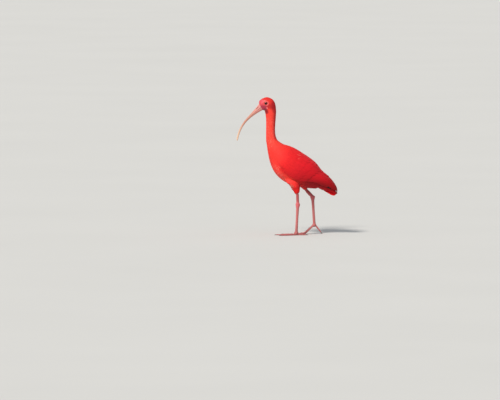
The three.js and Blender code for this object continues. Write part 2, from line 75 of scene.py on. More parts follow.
TAIL = {"root": (115, 176), "droop": 0.48, "lift": 2.4, "length": 69, "pairs": 6, "spread": 0.033,
        "half": 7.6, "layer": 1.3, "roof": 0.42, "ridge": 12, "bend": 3.4, "from": 0.16, "sunk": 0.5}
TAIL_COVERTS = {"count": 5, "root": 10, "short": 2, "step": 3.2, "half": 7.2, "aside": 0.8}
UNDERTAIL = {"along": [-14, 14, 30, 48, 66], "wide": [16.5, 15.5, 13.5, 12, 11],
             "deep": [16.5, 14.6, 13.6, 11.5, 9.5], "starts": [-13, 3, 18, 32], "run": 31, "reach": 1.8,
             "count": 12, "from_run": 392, "height": 1.4, "step": 0.7, "climb": 1.8, "curl": 0.25,
             "blunt": 0.3, "jitter": 0.1, "lengths": (0.93, 1.05)}

# Middle line of the bird from the bill's base through head, neck and body to the tail's tip
SPINE = [
    (-100, 447), (-84, 458), (-68, 455), (-60, 438), (-58, 410), (-57, 380), (-54, 345), (-45, 310),
    (-25, 272), (5, 242), (45, 215), (85, 190), (115, 176), (150, 157), (180, 143),
]
THIGHS = [((18, -34, 192), (34, -34, 146)), ((36, 34, 194), (66, 34, 157))]


# Small tools

def srgb(red, green, blue):
    """Linear colour from display values of 0 to 255."""
    shown = np.array([red, green, blue]) / 255
    return np.where(shown <= 0.04045, shown / 12.92, ((shown + 0.055) / 1.055) ** 2.4)


def ramp(x, low, high):
    """0 below low, 1 above high, smooth in between."""
    t = np.clip((np.asarray(x, float) - low) / (high - low), 0, 1)
    return t * t * (3 - 2 * t)


def mix(a, b, share):
    """From number a to number b, or arrays of them."""
    return a + (b - a) * share


def blend(a, b, share):
    """From vector or colour a to b, or arrays of them, with one share for each."""
    return a + (b - a) * np.asarray(share, float)[..., None]


def layered(colour, layers):
    """A colour under further ones, each laid on with its weight."""
    for tint, weight in layers:
        colour = blend(colour, tint, weight)
    return colour


def unit(v):
    return v / np.maximum(np.linalg.norm(v, axis=-1, keepdims=True), 1e-12)


def flattened(v, normal):
    """Unit direction of v within the plane square to normal."""
    return unit(v - normal * np.sum(v * normal, axis=-1, keepdims=True))


def bezier(points, t):
    a, b, c, d = (np.array(p, float) for p in points)
    t = np.asarray(t, float)[..., None]
    return a * (1 - t) ** 3 + 3 * b * (1 - t) ** 2 * t + 3 * c * (1 - t) * t**2 + d * t**3


def spline(points, t):
    """Uniform Catmull-Rom curve through the points."""
    p = np.array(points, float)
    place = np.clip(np.asarray(t, float), 0, 1) * (len(p) - 1)
    i = np.clip(place.astype(int), 0, len(p) - 2)
    f = (place - i)[..., None]
    before, here, after, beyond = p[np.maximum(i - 1, 0)], p[i], p[i + 1], p[np.minimum(i + 2, len(p) - 1)]
    v0, v1 = (after - before) / 2, (beyond - here) / 2
    return ((2 * here - 2 * after + v0 + v1) * f**3 + (3 * after - 3 * here - 2 * v0 - v1) * f**2
            + v0 * f + here)


def upright(xz):
    """Points of the middle plane from x and z."""
    return np.stack([xz[..., 0], np.zeros(xz.shape[:-1]), xz[..., 1]], axis=-1)


def new_mesh(name, points, faces):
    """Mesh from points in millimetres and faces as corner numbers."""
    mesh = bpy.data.meshes.new(name)
    faces = faces.tolist() if isinstance(faces, np.ndarray) else faces
    mesh.from_pydata((np.asarray(points) * MM).tolist(), [], faces)
    mesh.update()
    return mesh


def ring_faces(rings, each):
    """Faces between rings of corners, one ring after the other."""
    here = [(r * each, k, (k + 1) % each) for r in range(rings - 1) for k in range(each)]
    return [[start + k, start + n, start + n + each, start + k + each] for start, k, n in here]


@contextmanager
def edited(mesh):
    """The mesh opened for editing, and written back at the end."""
    work = bmesh.new()
    work.from_mesh(mesh)
    work.verts.ensure_lookup_table()
    yield work
    work.to_mesh(mesh)
    work.free()


def link(name, data):
    obj = bpy.data.objects.new(name, data)
    bpy.context.scene.collection.objects.link(obj)
    return obj


def smooth_shaded(obj):
    obj.data.polygons.foreach_set("use_smooth", np.ones(len(obj.data.polygons), bool))
    return obj


def corners_of(mesh):
    """The mesh's points in millimetres."""
    flat = np.empty(len(mesh.vertices) * 3)
    mesh.vertices.foreach_get("co", flat)
    return flat.reshape(-1, 3) / MM


def normals_of(mesh):
    flat = np.empty(len(mesh.vertices) * 3)
    mesh.vertices.foreach_get("normal", flat)
    return flat.reshape(-1, 3)


def move_corners(mesh, points):
    mesh.vertices.foreach_set("co", (points * MM).ravel())
    mesh.update()


def store_colour(mesh, name, colours):
    layer = mesh.color_attributes.new(name, "FLOAT_COLOR", "POINT")
    layer.data.foreach_set("color", np.column_stack([colours, np.ones(len(colours))]).ravel())


def store_vector(mesh, name, vectors):
    mesh.attributes.new(name, "FLOAT_VECTOR", "POINT").data.foreach_set("vector", np.ravel(vectors))


def store_uv(mesh, places):
    """UV map for baking, from one place for each corner point."""
    layer = mesh.uv_layers.new(name="OFBake")
    index = np.empty(len(mesh.loops), int)
    mesh.loops.foreach_get("vertex_index", index)
    layer.data.foreach_set("uv", places[index].ravel())


def set_normals(obj, normals, faces, under):
    """Shading normals at the faces' corners, so that thin vanes are lit as the plumage they lie in."""
    corners = normals.reshape(-1, 3)[faces]
    corners[under] *= -1
    obj.data.normals_split_custom_set(corners.reshape(-1, 3).tolist())


def evaluated(obj):
    """The object's mesh with its modifiers applied; the object itself goes."""
    graph = bpy.context.evaluated_depsgraph_get()
    mesh = bpy.data.meshes.new_from_object(obj.evaluated_get(graph))
    bpy.data.objects.remove(obj)
    return mesh


def joined(name, sources):
    """One mesh with the faces of several."""
    work = bmesh.new()
    for source in sources:
        work.from_mesh(source)
    mesh = bpy.data.meshes.new(name)
    work.to_mesh(mesh)
    work.free()
    return mesh


def fused(name, sources, voxel, rounds):
    """One closed smooth surface round several closed meshes."""
    obj = link(name, joined(name, sources))
    remesh = obj.modifiers.new("fuse", "REMESH")
    remesh.mode = "VOXEL"
    remesh.voxel_size = voxel * MM
    smooth = obj.modifiers.new("smooth", "SMOOTH")
    smooth.factor = 0.5
    smooth.iterations = rounds
    return evaluated(obj)


def closed_grid(outer, inner):
    """Triangles of a thin closed body between two grids of rows by columns, outer points first."""
    rows, columns = outer.shape[:2]
    grid = np.arange(rows * columns).reshape(rows, columns)
    a, b, c, d = (grid[:-1, :-1].ravel(), grid[:-1, 1:].ravel(), grid[1:, 1:].ravel(), grid[1:, :-1].ravel())
    under = rows * columns
    rim = np.concatenate([grid[0, :-1], grid[:-1, -1], grid[-1, :0:-1], grid[:0:-1, 0]])
    following = np.roll(rim, -1)
    faces = np.concatenate([
        np.stack([a, b, c], 1), np.stack([a, c, d], 1),
        np.stack([a, c, b], 1) + under, np.stack([a, d, c], 1) + under,
        np.stack([rim, following + under, following], 1), np.stack([rim, rim + under, following + under], 1),
    ])
    points = np.concatenate([outer.reshape(-1, 3), inner.reshape(-1, 3)])
    p, q, r = ((points - points[0])[faces[:, k]] for k in range(3))
    inside_out = np.sum(p * np.cross(q, r)) < 0
    return points, faces[:, ::-1] if inside_out else faces


# Camera: the left side, from far off and slightly above, framed as 500 by 400 pixels

CAMERA = {"distance": 25_000, "elevation": math.radians(3.5), "sensor": 36}
PIXEL = 3.5
IMAGE = {"width": 500, "height": 400}
ORIGIN_IN_IMAGE = {"across": 287, "down": 234.6}


def add_camera():
    data = bpy.data.cameras.new("camera")
    data.sensor_width = CAMERA["sensor"]
    data.lens = CAMERA["sensor"] * CAMERA["distance"] / (IMAGE["width"] * PIXEL)
    data.clip_end = 400
    camera = link("camera", data)
    tilt = CAMERA["elevation"]
    aim = Vector((
        (IMAGE["width"] / 2 - ORIGIN_IN_IMAGE["across"]) * PIXEL,
        0,
        (ORIGIN_IN_IMAGE["down"] - IMAGE["height"] / 2) * PIXEL / math.cos(tilt),
    ))
    back = Vector((0, -math.cos(tilt), math.sin(tilt)))
    camera.location = (aim + back * CAMERA["distance"]) * MM
    camera.rotation_euler = (math.pi / 2 - tilt, 0, 0)
    bpy.context.scene.camera = camera


# Wing and tail sheets that the flight feathers lie on

def cubic(values, t):
    a, b, c, d = values
    return a * (1 - t) ** 3 + 3 * b * (1 - t) ** 2 * t + 3 * c * (1 - t) * t**2 + d * t**3


def edge_share(s):
    return s**1.15 + 1.2 * s**3 * (1 - s)


def wing_sheet(s, share):
    """Point on the folded wings: s runs from wrist to tip, share from the ridge to -1 or 1 at an edge."""
    s = np.clip(s, 0, 1)
    top = upright(spline(WING_TOP, s))
    edge = upright(bezier(WING_EDGE, edge_share(s)))
    wrap = WING_WRAP["wrist"] + (WING_WRAP["tip"] - WING_WRAP["wrist"]) * s
    turn = np.cos(wrap)[..., None]
    centre = (edge - top * turn) / (1 - turn)
    angle = wrap * share
    p = blend(centre, top, np.cos(angle))
    p[..., 1] = cubic(WING_SIDE, s) * np.sin(angle)
    return p


def over_wing(s, share, height):
    """Point at a height over the wing sheet, on its own side of the middle plane."""
    step = 0.01
    s, share, height = np.broadcast_arrays(s, share, height)
    along = wing_sheet(s + step, share) - wing_sheet(s - step, share)
    down = wing_sheet(s, share + step) - wing_sheet(s, share - step)
    normal = unit(np.cross(along, down))
    return wing_sheet(s, share) + normal * height[..., None]


def over_tail(along, aside, above):
    """Point over the folded tail, whose sides hang like a roof's."""
    along, aside, above = np.broadcast_arrays(along, aside, above)
    fall = TAIL["roof"] * (np.hypot(aside, TAIL["ridge"]) - TAIL["ridge"])
    forward = np.array([math.cos(TAIL["droop"]), 0, -math.sin(TAIL["droop"])])
    up = np.array([math.sin(TAIL["droop"]), 0, math.cos(TAIL["droop"])])
    root = np.array([TAIL["root"][0], 0, TAIL["root"][1]])
    return (root + forward * along[..., None] + np.array([0, 1, 0]) * aside[..., None]
            + up * (above - fall + TAIL["lift"])[..., None])


def under_tail(along, turn, above):
    """Point on the rounded underside of the tail's root, turn from 0 below to the sides."""
    along, turn, above = np.broadcast_arrays(along, turn, above)
    wide = np.interp(along, UNDERTAIL["along"], UNDERTAIL["wide"]) + above
    deep = np.interp(along, UNDERTAIL["along"], UNDERTAIL["deep"]) + above
    return over_tail(along, wide * np.sin(turn), -deep * np.cos(turn))


# Which way the plumage lies, and where on the bird a point is

SPINE_LINE = upright(spline(SPINE, np.linspace(0, 1, 400)))
SPINE_WAY = unit(np.gradient(SPINE_LINE, axis=0))
SPINE_RUN = np.concatenate([[0], np.cumsum(np.linalg.norm(np.diff(SPINE_LINE, axis=0), axis=1))])

WING_GRID = np.meshgrid(np.linspace(0, 1, 81), np.linspace(-1, 1, 81), indexing="ij")
WING_S, WING_SHARE = (grid.ravel() for grid in WING_GRID)
WING_POINTS = wing_sheet(WING_S, WING_SHARE)
WING_WAY = unit(wing_sheet(WING_S + 0.01, WING_SHARE) - wing_sheet(WING_S - 0.01, WING_SHARE))


def tree_of(points):
    tree = KDTree(len(points))
    for i, p in enumerate(points):
        tree.insert(p, i)
    tree.balance()
    return tree


WING_TREE = tree_of(WING_POINTS)


class Places:
    """For points on the bird: run along its middle line, place on the wing, weights there and on the thighs,
    and the way the plumage lies."""

    def __init__(self, points):
        nearest = np.concatenate([
            np.argmin(((block[:, None] - SPINE_LINE[None]) ** 2).sum(2), axis=1)
            for block in np.array_split(points, len(points) // 4000 + 1)
        ])
        way = SPINE_WAY[nearest]
        self.run = SPINE_RUN[nearest] + np.sum((points - SPINE_LINE[nearest]) * way, axis=1)
        found = [WING_TREE.find(p) for p in points]
        index = np.array([f[1] for f in found])
        off = np.array([f[2] for f in found])
        self.s = WING_S[index]
        self.share = WING_SHARE[index]
        self.wing = ramp(self.s, 0.0, 0.14) * (1 - ramp(off, 7, 14))
        self.lie = blend(way, WING_WAY[index], self.wing)
        self.thigh, self.knee, self.bare, self.narrow = np.zeros((4, len(points)))
        for top, knee in THIGHS:
            top, knee = np.array(top, float), np.array(knee, float)
            axis = unit(knee - top)
            down = (points - top) @ axis
            aside = np.linalg.norm(points - top - np.outer(down, axis), axis=1)
            length = np.linalg.norm(knee - top)
            near = ramp(down, length * 0.25, length * 0.5) * (1 - ramp(aside, 24, 30))
            self.lie = blend(self.lie, axis, near)
            for name, here in (
                ("thigh", near),
                ("knee", near * ramp(down, length * 0.6, length)),
                ("bare", near * ramp(down, length - 8, length - 4)),
                ("narrow", near * ramp(down, length - 5, length + 6)),
            ):
                setattr(self, name, np.maximum(getattr(self, name), here))
        self.wing = self.wing * (1 - self.thigh)


# Bare face: outline in the side view, from the forehead over and behind the eye to the chin

FACE_BORDER = [
    (-112, 482), (-97, 477.5), (-88, 475), (-79.5, 471.8), (-70.7, 470), (-65.3, 465.8), (-63.8, 460),
    (-66, 454.4), (-69.5, 450.4), (-70.4, 447.4), (-67.4, 444.6), (-68.6, 440.8), (-73, 437), (-78.5, 433.2),
    (-84, 430), (-112, 425),
]


def inside_by(points, border):
    """Distance inside a closed outline of the side view, negative outside it."""
    p = points[:, [0, 2]]
    inside = np.zeros(len(p), bool)
    least = np.full(len(p), 1e9)
    for a, b in zip(border, border[1:] + border[:1]):
        a, b = np.array(a, float), np.array(b, float)
        t = np.clip((p - a) @ (b - a) / ((b - a) @ (b - a)), 0, 1)
        least = np.minimum(least, np.linalg.norm(p - a - t[:, None] * (b - a), axis=1))
        crosses = (a[1] > p[:, 1]) != (b[1] > p[:, 1])
        at = a[0] + (p[:, 1] - a[1]) * (b[0] - a[0]) / (b[1] - a[1] if b[1] != a[1] else 1)
        inside ^= crosses & (p[:, 0] < at)
    return np.where(inside, least, -least)


def eye_distance(points):
    """Distance from the eye's middle in the side view, in an oval that points down and forwards."""
    x, z = points[:, 0] - EYE["x"], points[:, 2] - EYE["z"]
    along = x * math.cos(EYE["tilt"]) + z * math.sin(EYE["tilt"])
    up = z * math.cos(EYE["tilt"]) - x * math.sin(EYE["tilt"])
    return np.hypot(along / EYE["long"], up / (EYE["high"] * (1 - 0.02 * np.clip(-along, 0, 8))))


# Colours of the plumage and face, some darkened as painted shade

SCARLET = srgb(226, 36, 38)
NECK_RED = srgb(240, 68, 56)
BREAST_RED = srgb(246, 64, 56)
CROWN_RED = srgb(214, 50, 44)
# HEAD_DARK and NAPE_RED: darker crimson of the rear of head and neck, partly its own colour, partly painted
# shade on the side turned from the light
HEAD_DARK = srgb(166, 28, 36)
CHEEK_RED = srgb(184, 46, 46)
NAPE_RED = srgb(188, 42, 42)
WING_RED = srgb(200, 20, 32)
# Deeper red of the wing's rear: partly its own colour, partly painted shade
REAR_RED_AND_SHADE = srgb(144, 6, 14)
THIGH_RED = srgb(218, 32, 30)
# Scarlet darkened as painted shade under the rear of the body, by the vent
VENT_SHADE_RED = srgb(164, 26, 32)
TAIL_RED = srgb(206, 22, 30)
PALE_PINK = srgb(254, 150, 132)
FLUFF_PINK = srgb(214, 92, 84)
FACE_PINK = srgb(210, 66, 78)
FACE_EYE = srgb(204, 64, 64)
FACE_LOW = srgb(172, 42, 68)
FACE_RING = srgb(226, 108, 102)
# Painted shadow under the jaw
JAW_SHADOW = srgb(118, 18, 34)
JAW_PALE = srgb(244, 132, 122)
# Pink of the upper shank, darkened as painted shade under the thigh
SHANK_PINK_AND_SHADE = srgb(172, 74, 74)
BLACK_TIP = srgb(24, 12, 16)
# Places of pale feather tips: flecks on the breast, and on the upper back's edge partly paler feathers,
# partly painted highlight
FLECK_AND_HIGHLIGHT_SPOTS = [(-44, 245, 17), (-36, 226, 17), (-24, 206, 16), (-15, 193, 10), (30, 283, 9)]
PALE_TIPS = {"breast": 0.4, "neck": 0.25, "pale": (0.4, 0.65)}
# Front edge of the darker rear strip of head and neck, which is partly painted shade
DARK_FRONT = {"z": [318, 332, 345, 380, 430, 448, 466, 482], "x": [-16, -38, -50, -51, -50, -60, -60, -52]}


def spot(points, x, z, radius):
    """1 near a place of the side view, 0 beyond the radius."""
    return 1 - ramp(np.hypot(points[:, 0] - x, points[:, 2] - z), 0.3 * radius, radius)


def colours_and_shade(points, places):
    """Plumage and bare skin colours, some darkened as painted shade, the same for the skin and for what grows
    on it.
    """
    x, z = points[:, 0], points[:, 2]
    run = places.run
    # Rear strip of head and neck: partly its own darker crimson, partly painted shade on the side away from
    # the light
    rear_of_head = ramp(x - np.interp(z, DARK_FRONT["z"], DARK_FRONT["x"]), -2, 8)
    rear_of_head = rear_of_head * ramp(z, 312, 340) * (1 - ramp(z, 462, 482))
    # Wing reds deepen to the rear: partly their own colour, partly painted shade
    wing = layered(SCARLET, [(WING_RED, ramp(places.s, 0.05, 0.4)), (REAR_RED_AND_SHADE, ramp(places.s, 0.4, 0.95))])
    feathers = layered(NECK_RED, [
        (SCARLET, 0.5 * ramp(run, 150, 200)),
        (BREAST_RED, ramp(run, 205, 240) * (1 - ramp(x + 0.8 * (z - 225), 0, 40))),
        (SCARLET, ramp(run, 290, 330)),
        (CROWN_RED, ramp(z, 440, 452) * (1 - ramp(run, 70, 80))),
        (CHEEK_RED, 0.8 * spot(points, -63, 452, 11)),
        (blend(NAPE_RED, HEAD_DARK, ramp(z, 425, 450)), 0.8 * rear_of_head),
        # Painted shadow on the feathers under the jaw
        (JAW_SHADOW, 0.8 * spot(points, -73, 434, 10)),
        # Painted shade under the rear of the body
        (VENT_SHADE_RED, ramp(run, 300, 350) * (1 - places.wing)),
        (wing, places.wing),
        (THIGH_RED, places.thigh),
        (FLUFF_PINK, 0.85 * np.maximum(spot(points, 5, 171, 11), spot(points, 104, 160, 6))),
        # Bare skin below the thigh: shank pink, darkened as painted shade under the thigh
        (SHANK_PINK_AND_SHADE, places.bare),
    ])
    ring = 1 - ramp(np.abs(eye_distance(points) - 6.8), 0.8, 2.4)
    bare = layered(FACE_LOW, [
        (FACE_PINK, ramp(z - 0.35 * (x + 86), 449, 461)),
        (FACE_EYE, ramp(x, -87, -79) * ramp(z, 449, 456)),
        (FACE_RING, (0.2 + 0.5 * ramp(x, -78, -70)) * ring),
        # Painted shadow on the bare skin under the jaw
        (JAW_SHADOW, 0.75 * spot(points, -76, 436.5, 9)),
        (JAW_PALE, 0.9 * spot(points, -69, 444.8, 4.5)),
    ])
    return blend(feathers, bare, ramp(inside_by(points, FACE_BORDER), -0.8, 0.8))


# Skin: one surface over head, neck, body, thighs and the arms of the wings, inside the coat

FLESH = ["head", "neck_upper", "neck_lower", "torso", "thigh_left", "thigh_right"]
SKIN = {"voxel": 1.7, "rounds": 12}
ARM = {"end": 0.6, "height": 1.6, "sink": 1.6, "depth": 13, "dive": 5, "rim": 3}
STUB = {"rings": [(-12, -3, 13, 15), (14, -4, 11, 14), (27, -5, 7, 12), (38, -5, 4, 9)], "sides": 24}
EASED = {"s": 0.03, "shoulder": 17, "thigh": 30, "rounds": 60}
FACE_MESH = {"margin": 3, "front": -103, "smooth_margin": 2, "rounds": 4}
COAT_DEPTH = {"run": [0, 22, 60, 120, 200, 260], "depth": [0, 0.5, 1.1, 1.5, 2.4, 2.8],
              "thigh": 1.9, "knee": 0.5, "narrow": 2.2}


def arm_mesh():
    """The fleshy part of both folded wings, as one saddle over the back."""
    s, share = np.meshgrid(np.linspace(0, ARM["end"], 30), np.linspace(-1, 1, 61), indexing="ij")
    rise = ARM["height"] * (1 - ARM["sink"] * ramp(s, 0.2, 0.45)) - ARM["dive"] * (1 - ramp(s, 0, 0.16))
    rise = rise - ARM["rim"] * ramp(np.abs(share), 0.93, 1)
    depth = ARM["depth"] * np.clip((ARM["end"] - s) / 0.2 + 0.25, 0, 1)
    return new_mesh("arms", *closed_grid(over_wing(s, share, rise), over_wing(s, share, rise - depth)))


def stub_mesh():
    """Root of the tail, inside its feathers."""
    rings, sides = STUB["rings"], STUB["sides"]
    angle = np.linspace(0, 2 * np.pi, sides, endpoint=False)
    points = np.concatenate([
        over_tail(along, np.sin(angle) * half, above + np.cos(angle) * rise)
        for along, above, rise, half in rings
    ])
    first = list(range(sides))
    last = [len(points) - sides + k for k in first]
    return new_mesh("stub", points, ring_faces(len(rings), sides) + [first[::-1], last])


LID = {
    "reach": [0, 3.6, 4.1, 4.5, 5.0, 5.6, 6.3, 7.1, 8.2, 9.6],
    "over": [-6, -2.0, -0.5, 0.75, 1.1, 0.95, 0, 0, 0, 0],
    "proud": [0, 0, 0, 0, 0, 0, 0.35, -0.25, 0.15, 0],
    "seam": (5.4, 6.8),
    "from_middle": 5,
}
FOLDS = {"ring_space": 2.2, "ring_height": 0.1, "middle": 9.6, "band": 2.4, "crease_space": 3.1,
         "crease_height": 0.12, "clear_of_eye": (9, 14), "border": 2.5}


def shape_eye_region(points):
    """Lids: near each eye the skin follows the eyeball, then rises to a rim with a crease round it."""
    for side in (LEFT, RIGHT):
        away = eye_distance(points)
        near = (away < LID["reach"][-1]) & (points[:, 1] * side > LID["from_middle"])
        r = away[near]
        ball = EYE["side"] + np.sqrt(np.maximum(EYE["radius"] ** 2 - r**2, 0))
        lid = ball + np.interp(r, LID["reach"], LID["over"])
        own = points[near, 1] * side + np.interp(r, LID["reach"], LID["proud"])
        points[near, 1] = side * mix(lid, own, ramp(r, *LID["seam"]))
    return points


def face_folds(points, normals):
    """Fine folds of the bare face: rings round each eye, and creases that run from it down to the mouth."""
    from_eye = eye_distance(points)
    x, z = points[:, 0], points[:, 2]
    fading = np.exp(-(((from_eye - FOLDS["middle"]) / FOLDS["band"]) ** 2))
    rings = np.cos(2 * np.pi * from_eye / FOLDS["ring_space"]) * fading
    course = 0.55 * x + 0.84 * z + 1.3 * np.sin(0.5 * x - 0.22 * z)
    creases = np.sin(2 * np.pi * course / FOLDS["crease_space"]) * ramp(from_eye, *FOLDS["clear_of_eye"])
    height = FOLDS["ring_height"] * rings + FOLDS["crease_height"] * creases
    height = height * ramp(inside_by(points, FACE_BORDER), 0, FOLDS["border"])
    return points + normals * height[:, None]


def refine(mesh, chosen):
    """Splits the edges among the chosen corners in two."""
    with edited(mesh) as work:
        edges = [edge for edge in work.edges if all(chosen[vert.index] for vert in edge.verts)]
        bmesh.ops.subdivide_edges(work, edges=edges, cuts=1, use_grid_fill=True, smooth=0.0)


def relax(mesh, chosen, rounds):
    """Smooths the mesh at the chosen corners."""
    axes = {"use_axis_x": True, "use_axis_y": True, "use_axis_z": True}
    with edited(mesh) as work:
        verts = [work.verts[i] for i in np.flatnonzero(chosen)]
        for _ in range(rounds):
            bmesh.ops.smooth_vert(work, verts=verts, factor=0.5, **axes)


def make_skin():
    mesh = fused("skin", [NODES[n].data for n in FLESH] + [arm_mesh(), stub_mesh()], **SKIN)
    points = corners_of(mesh)
    front = tree_of(wing_sheet(np.full(81, EASED["s"]), np.linspace(-1, 1, 81)))
    creased = np.array([front.find(p)[2] < EASED["shoulder"] for p in points])
    for top, _ in THIGHS:
        creased |= np.linalg.norm(points - np.array(top), axis=1) < EASED["thigh"]
    relax(mesh, creased, EASED["rounds"])
    points = corners_of(mesh)
    places = Places(points)
    depth = np.interp(places.run, COAT_DEPTH["run"], COAT_DEPTH["depth"])
    depth = mix(depth, COAT_DEPTH["thigh"], places.thigh)
    depth = mix(depth, COAT_DEPTH["knee"], places.knee) + COAT_DEPTH["narrow"] * places.narrow
    normals = normals_of(mesh)
    room = spot(points, *FLUFF_ROOM["place"]) * (points[:, 1] < 0) * ramp(-normals[:, 0], 0.2, 0.7)
    depth += FLUFF_ROOM["depth"] * room
    move_corners(mesh, points - normals * depth[:, None])
    for _ in range(2):
        points = corners_of(mesh)
        on_face = inside_by(points, FACE_BORDER) > -FACE_MESH["margin"]
        refine(mesh, on_face & (points[:, 0] > FACE_MESH["front"]))
    on_face = inside_by(corners_of(mesh), FACE_BORDER) > -FACE_MESH["smooth_margin"]
    relax(mesh, on_face, FACE_MESH["rounds"])
    points = face_folds(corners_of(mesh), normals_of(mesh))
    move_corners(mesh, shape_eye_region(points))
    with edited(mesh) as work:
        bmesh.ops.triangulate(work, faces=work.faces)
        bmesh.ops.recalc_face_normals(work, faces=work.faces)
    skin = smooth_shaded(link("skin", mesh))
    unwrap(skin)
    return skin


def unwrap(obj):
    for other in bpy.context.selected_objects:
        other.select_set(False)
    bpy.context.view_layer.objects.active = obj
    obj.select_set(True)
    obj.data.uv_layers.new(name="OFBake")
    bpy.ops.object.mode_set(mode="EDIT")
    bpy.ops.mesh.select_all(action="SELECT")
    bpy.ops.uv.smart_project(angle_limit=math.radians(66), island_margin=0.003)
    bpy.ops.object.mode_set(mode="OBJECT")


class Surface:
    """The skin as arrays, for growing feathers on it."""

    def __init__(self, obj):
        mesh = obj.data
        self.points = corners_of(mesh)
        self.normals = normals_of(mesh)
        corners = np.empty(len(mesh.polygons) * 3, int)
        mesh.polygons.foreach_get("vertices", corners)
        self.faces = corners.reshape(-1, 3)
        flat = np.empty(len(mesh.loops) * 2)
        mesh.uv_layers["OFBake"].data.foreach_get("uv", flat)
        self.uv = flat.reshape(-1, 3, 2)
        self.tree = BVHTree.FromPolygons(self.points.tolist(), self.faces.tolist())

    def scatter(self, count):
        """Points spread evenly by area, with their normals and places on the unwrap."""
        a, b, c = (self.points[self.faces[:, k]] for k in range(3))
        area = np.linalg.norm(np.cross(b - a, c - a), axis=1)
        face = random.choice(len(area), size=count, p=area / area.sum())
        r1, r2 = np.sqrt(random.random(count)), random.random(count)
        weights = np.stack([1 - r1, r1 * (1 - r2), r1 * r2], axis=1)
        return self.at(face, weights)

    def at(self, face, weights):
        pick = weights[..., None]
        corners = self.faces[face]
        return ((self.points[corners] * pick).sum(1), unit((self.normals[corners] * pick).sum(1)),
                (self.uv[face] * pick).sum(1))

    def nearest(self, points):
        """Nearest points of the skin, with smooth normals and places on its unwrap."""
        found = [self.tree.find_nearest(p) for p in points]
        face = np.array([f[2] for f in found])
        hit = np.array([tuple(f[0]) for f in found])
        a, b, c = (self.points[self.faces[face, k]] for k in range(3))
        whole = np.linalg.norm(np.cross(b - a, c - a), axis=1) + 1e-12
        wa = np.linalg.norm(np.cross(b - hit, c - hit), axis=1) / whole
        wb = np.linalg.norm(np.cross(c - hit, a - hit), axis=1) / whole
        weights = np.clip(np.stack([wa, wb, 1 - wa - wb], axis=1), 0, 1)
        return (hit, *self.at(face, weights)[1:])


# Body feathers: short overlapping vanes that follow the skin

SIZES = {
    "run": [0, 20, 50, 80, 150, 190, 230, 300, 380, 440],
    "length": [3.0, 3.6, 5.2, 7.5, 10, 12.5, 15, 18, 20, 21],
    "half": [0.42, 0.5, 0.62, 0.8, 1.1, 1.5, 2.0, 2.6, 2.9, 3.0],
    "space": [0.55, 0.62, 0.74, 0.9, 1.15, 1.42, 1.7, 2.1, 2.3, 2.5],
    "lift": [0.25, 0.3, 0.45, 0.65, 0.95, 1.25, 1.55, 1.7, 1.7, 1.5],
}
WING_SIZES = {
    "s": [0, 0.1, 0.2, 0.3, 0.4],
    "length": [13.5, 15, 18, 21, 24],
    "half": [1.9, 2.3, 3.0, 3.8, 4.6],
    "space": [1.6, 1.8, 2.15, 2.6, 3.0],
    "lift": [1.7, 1.8, 2.0, 2.2, 2.2],
}
THIGH_SIZES = {"length": (10, 6.5), "half": (1.35, 0.95), "space": (1.45, 1.05), "lift": (1.0, 0.6)}
TUFT = {"rounding": 0.3, "ragged": 0.4, "crown": 0.12, "shaft": 0.08, "sag": 0.08, "patch": 0.0015}
TUFT_JITTER = {"turn": 0.1, "length": 0.2, "half": 0.15, "lift": 0.15}
TUFT_STATIONS = np.array([0, 0.3, 0.62, 0.86, 1.0])
TUFT_WIDTH = np.array([0.5, 0.95, 0.92, 0.58, 0.0])
TUFT_RISE = np.array([-0.25, 0.35, 0.74, 0.94, 1.0])
COAT = {"candidates": 650_000, "face_gap": 0.2, "from_face": 7, "front": -104}
COAT_AT_FACE = {"length": 0.6, "half": 0.7, "space": 0.75, "lift": 0.3}
FLUFF = {"candidates": 90_000, "count": 420, "length": 11, "half": 1.0, "lift": 5, "strength": 0.5,
         "thigh": {"x": 8, "z": 174, "radius": 9, "inner": -8}, "vent": {"x": 104, "long": 4, "wide": 9}}
FLUFF_ROOM = {"depth": 4, "place": (8, 169, 15)}
WING_COVER = {"from": 0.27, "depth": 26, "height": 6, "share": 0.97}


def tuft_sizes(places):
    sizes = {}
    for key in ("length", "half", "space", "lift"):
        body = np.interp(places.run, SIZES["run"], SIZES[key])
        wing = np.interp(places.s, WING_SIZES["s"], WING_SIZES[key])
        thigh = mix(*THIGH_SIZES[key], places.knee)
        sizes[key] = mix(mix(body, wing, places.wing), thigh, places.thigh)
    return sizes


def spread_out(points, space):
    """Numbers of the points that stay when each keeps its distance from those chosen before it."""
    tree = tree_of(points)
    free = np.ones(len(points), bool)
    chosen = []
    for i, p in enumerate(points):
        if free[i]:
            chosen.append(i)
            free[[j for _, j, _ in tree.find_range(p, space[i])]] = False
    return np.array(chosen)


class Chosen:
    """The places of some points only."""

    def __init__(self, places, index):
        for name, values in vars(places).items():
            setattr(self, name, values[index])


def grow_coat(surface):
    """Roots, normals, places on the unwrap and on the bird, and sizes of the body feathers."""
    points, normals, uv = surface.scatter(COAT["candidates"])
    places = Places(points)
    face = inside_by(points, FACE_BORDER)
    off_sheet = points - wing_sheet(places.s, places.share)
    hidden = (places.s > WING_COVER["from"]) & (np.abs(places.share) < WING_COVER["share"])
    hidden &= np.linalg.norm(off_sheet, axis=1) < WING_COVER["depth"]
    hidden &= np.sum(off_sheet * normals, axis=1) < WING_COVER["height"]
    hidden |= places.run > UNDERTAIL["from_run"]
    bare = (face >= -COAT["face_gap"]) | (points[:, 0] <= COAT["front"]) | (places.bare >= 0.5)
    keep = np.flatnonzero(~hidden & ~bare)
    points, normals, uv, places = points[keep], normals[keep], uv[keep], Chosen(places, keep)
    sizes = tuft_sizes(places)
    growth = ramp(-face[keep], 0, COAT["from_face"])
    for key, least in COAT_AT_FACE.items():
        sizes[key] = sizes[key] * (least + (1 - least) * growth)
    keep = spread_out(points, sizes["space"])
    sizes = {key: values[keep] for key, values in sizes.items()}
    return points[keep], normals[keep], uv[keep], Chosen(places, keep), sizes


def turned(v, axis, angle):
    angle = angle[:, None]
    return v * np.cos(angle) + np.cross(axis, v) * np.sin(angle)


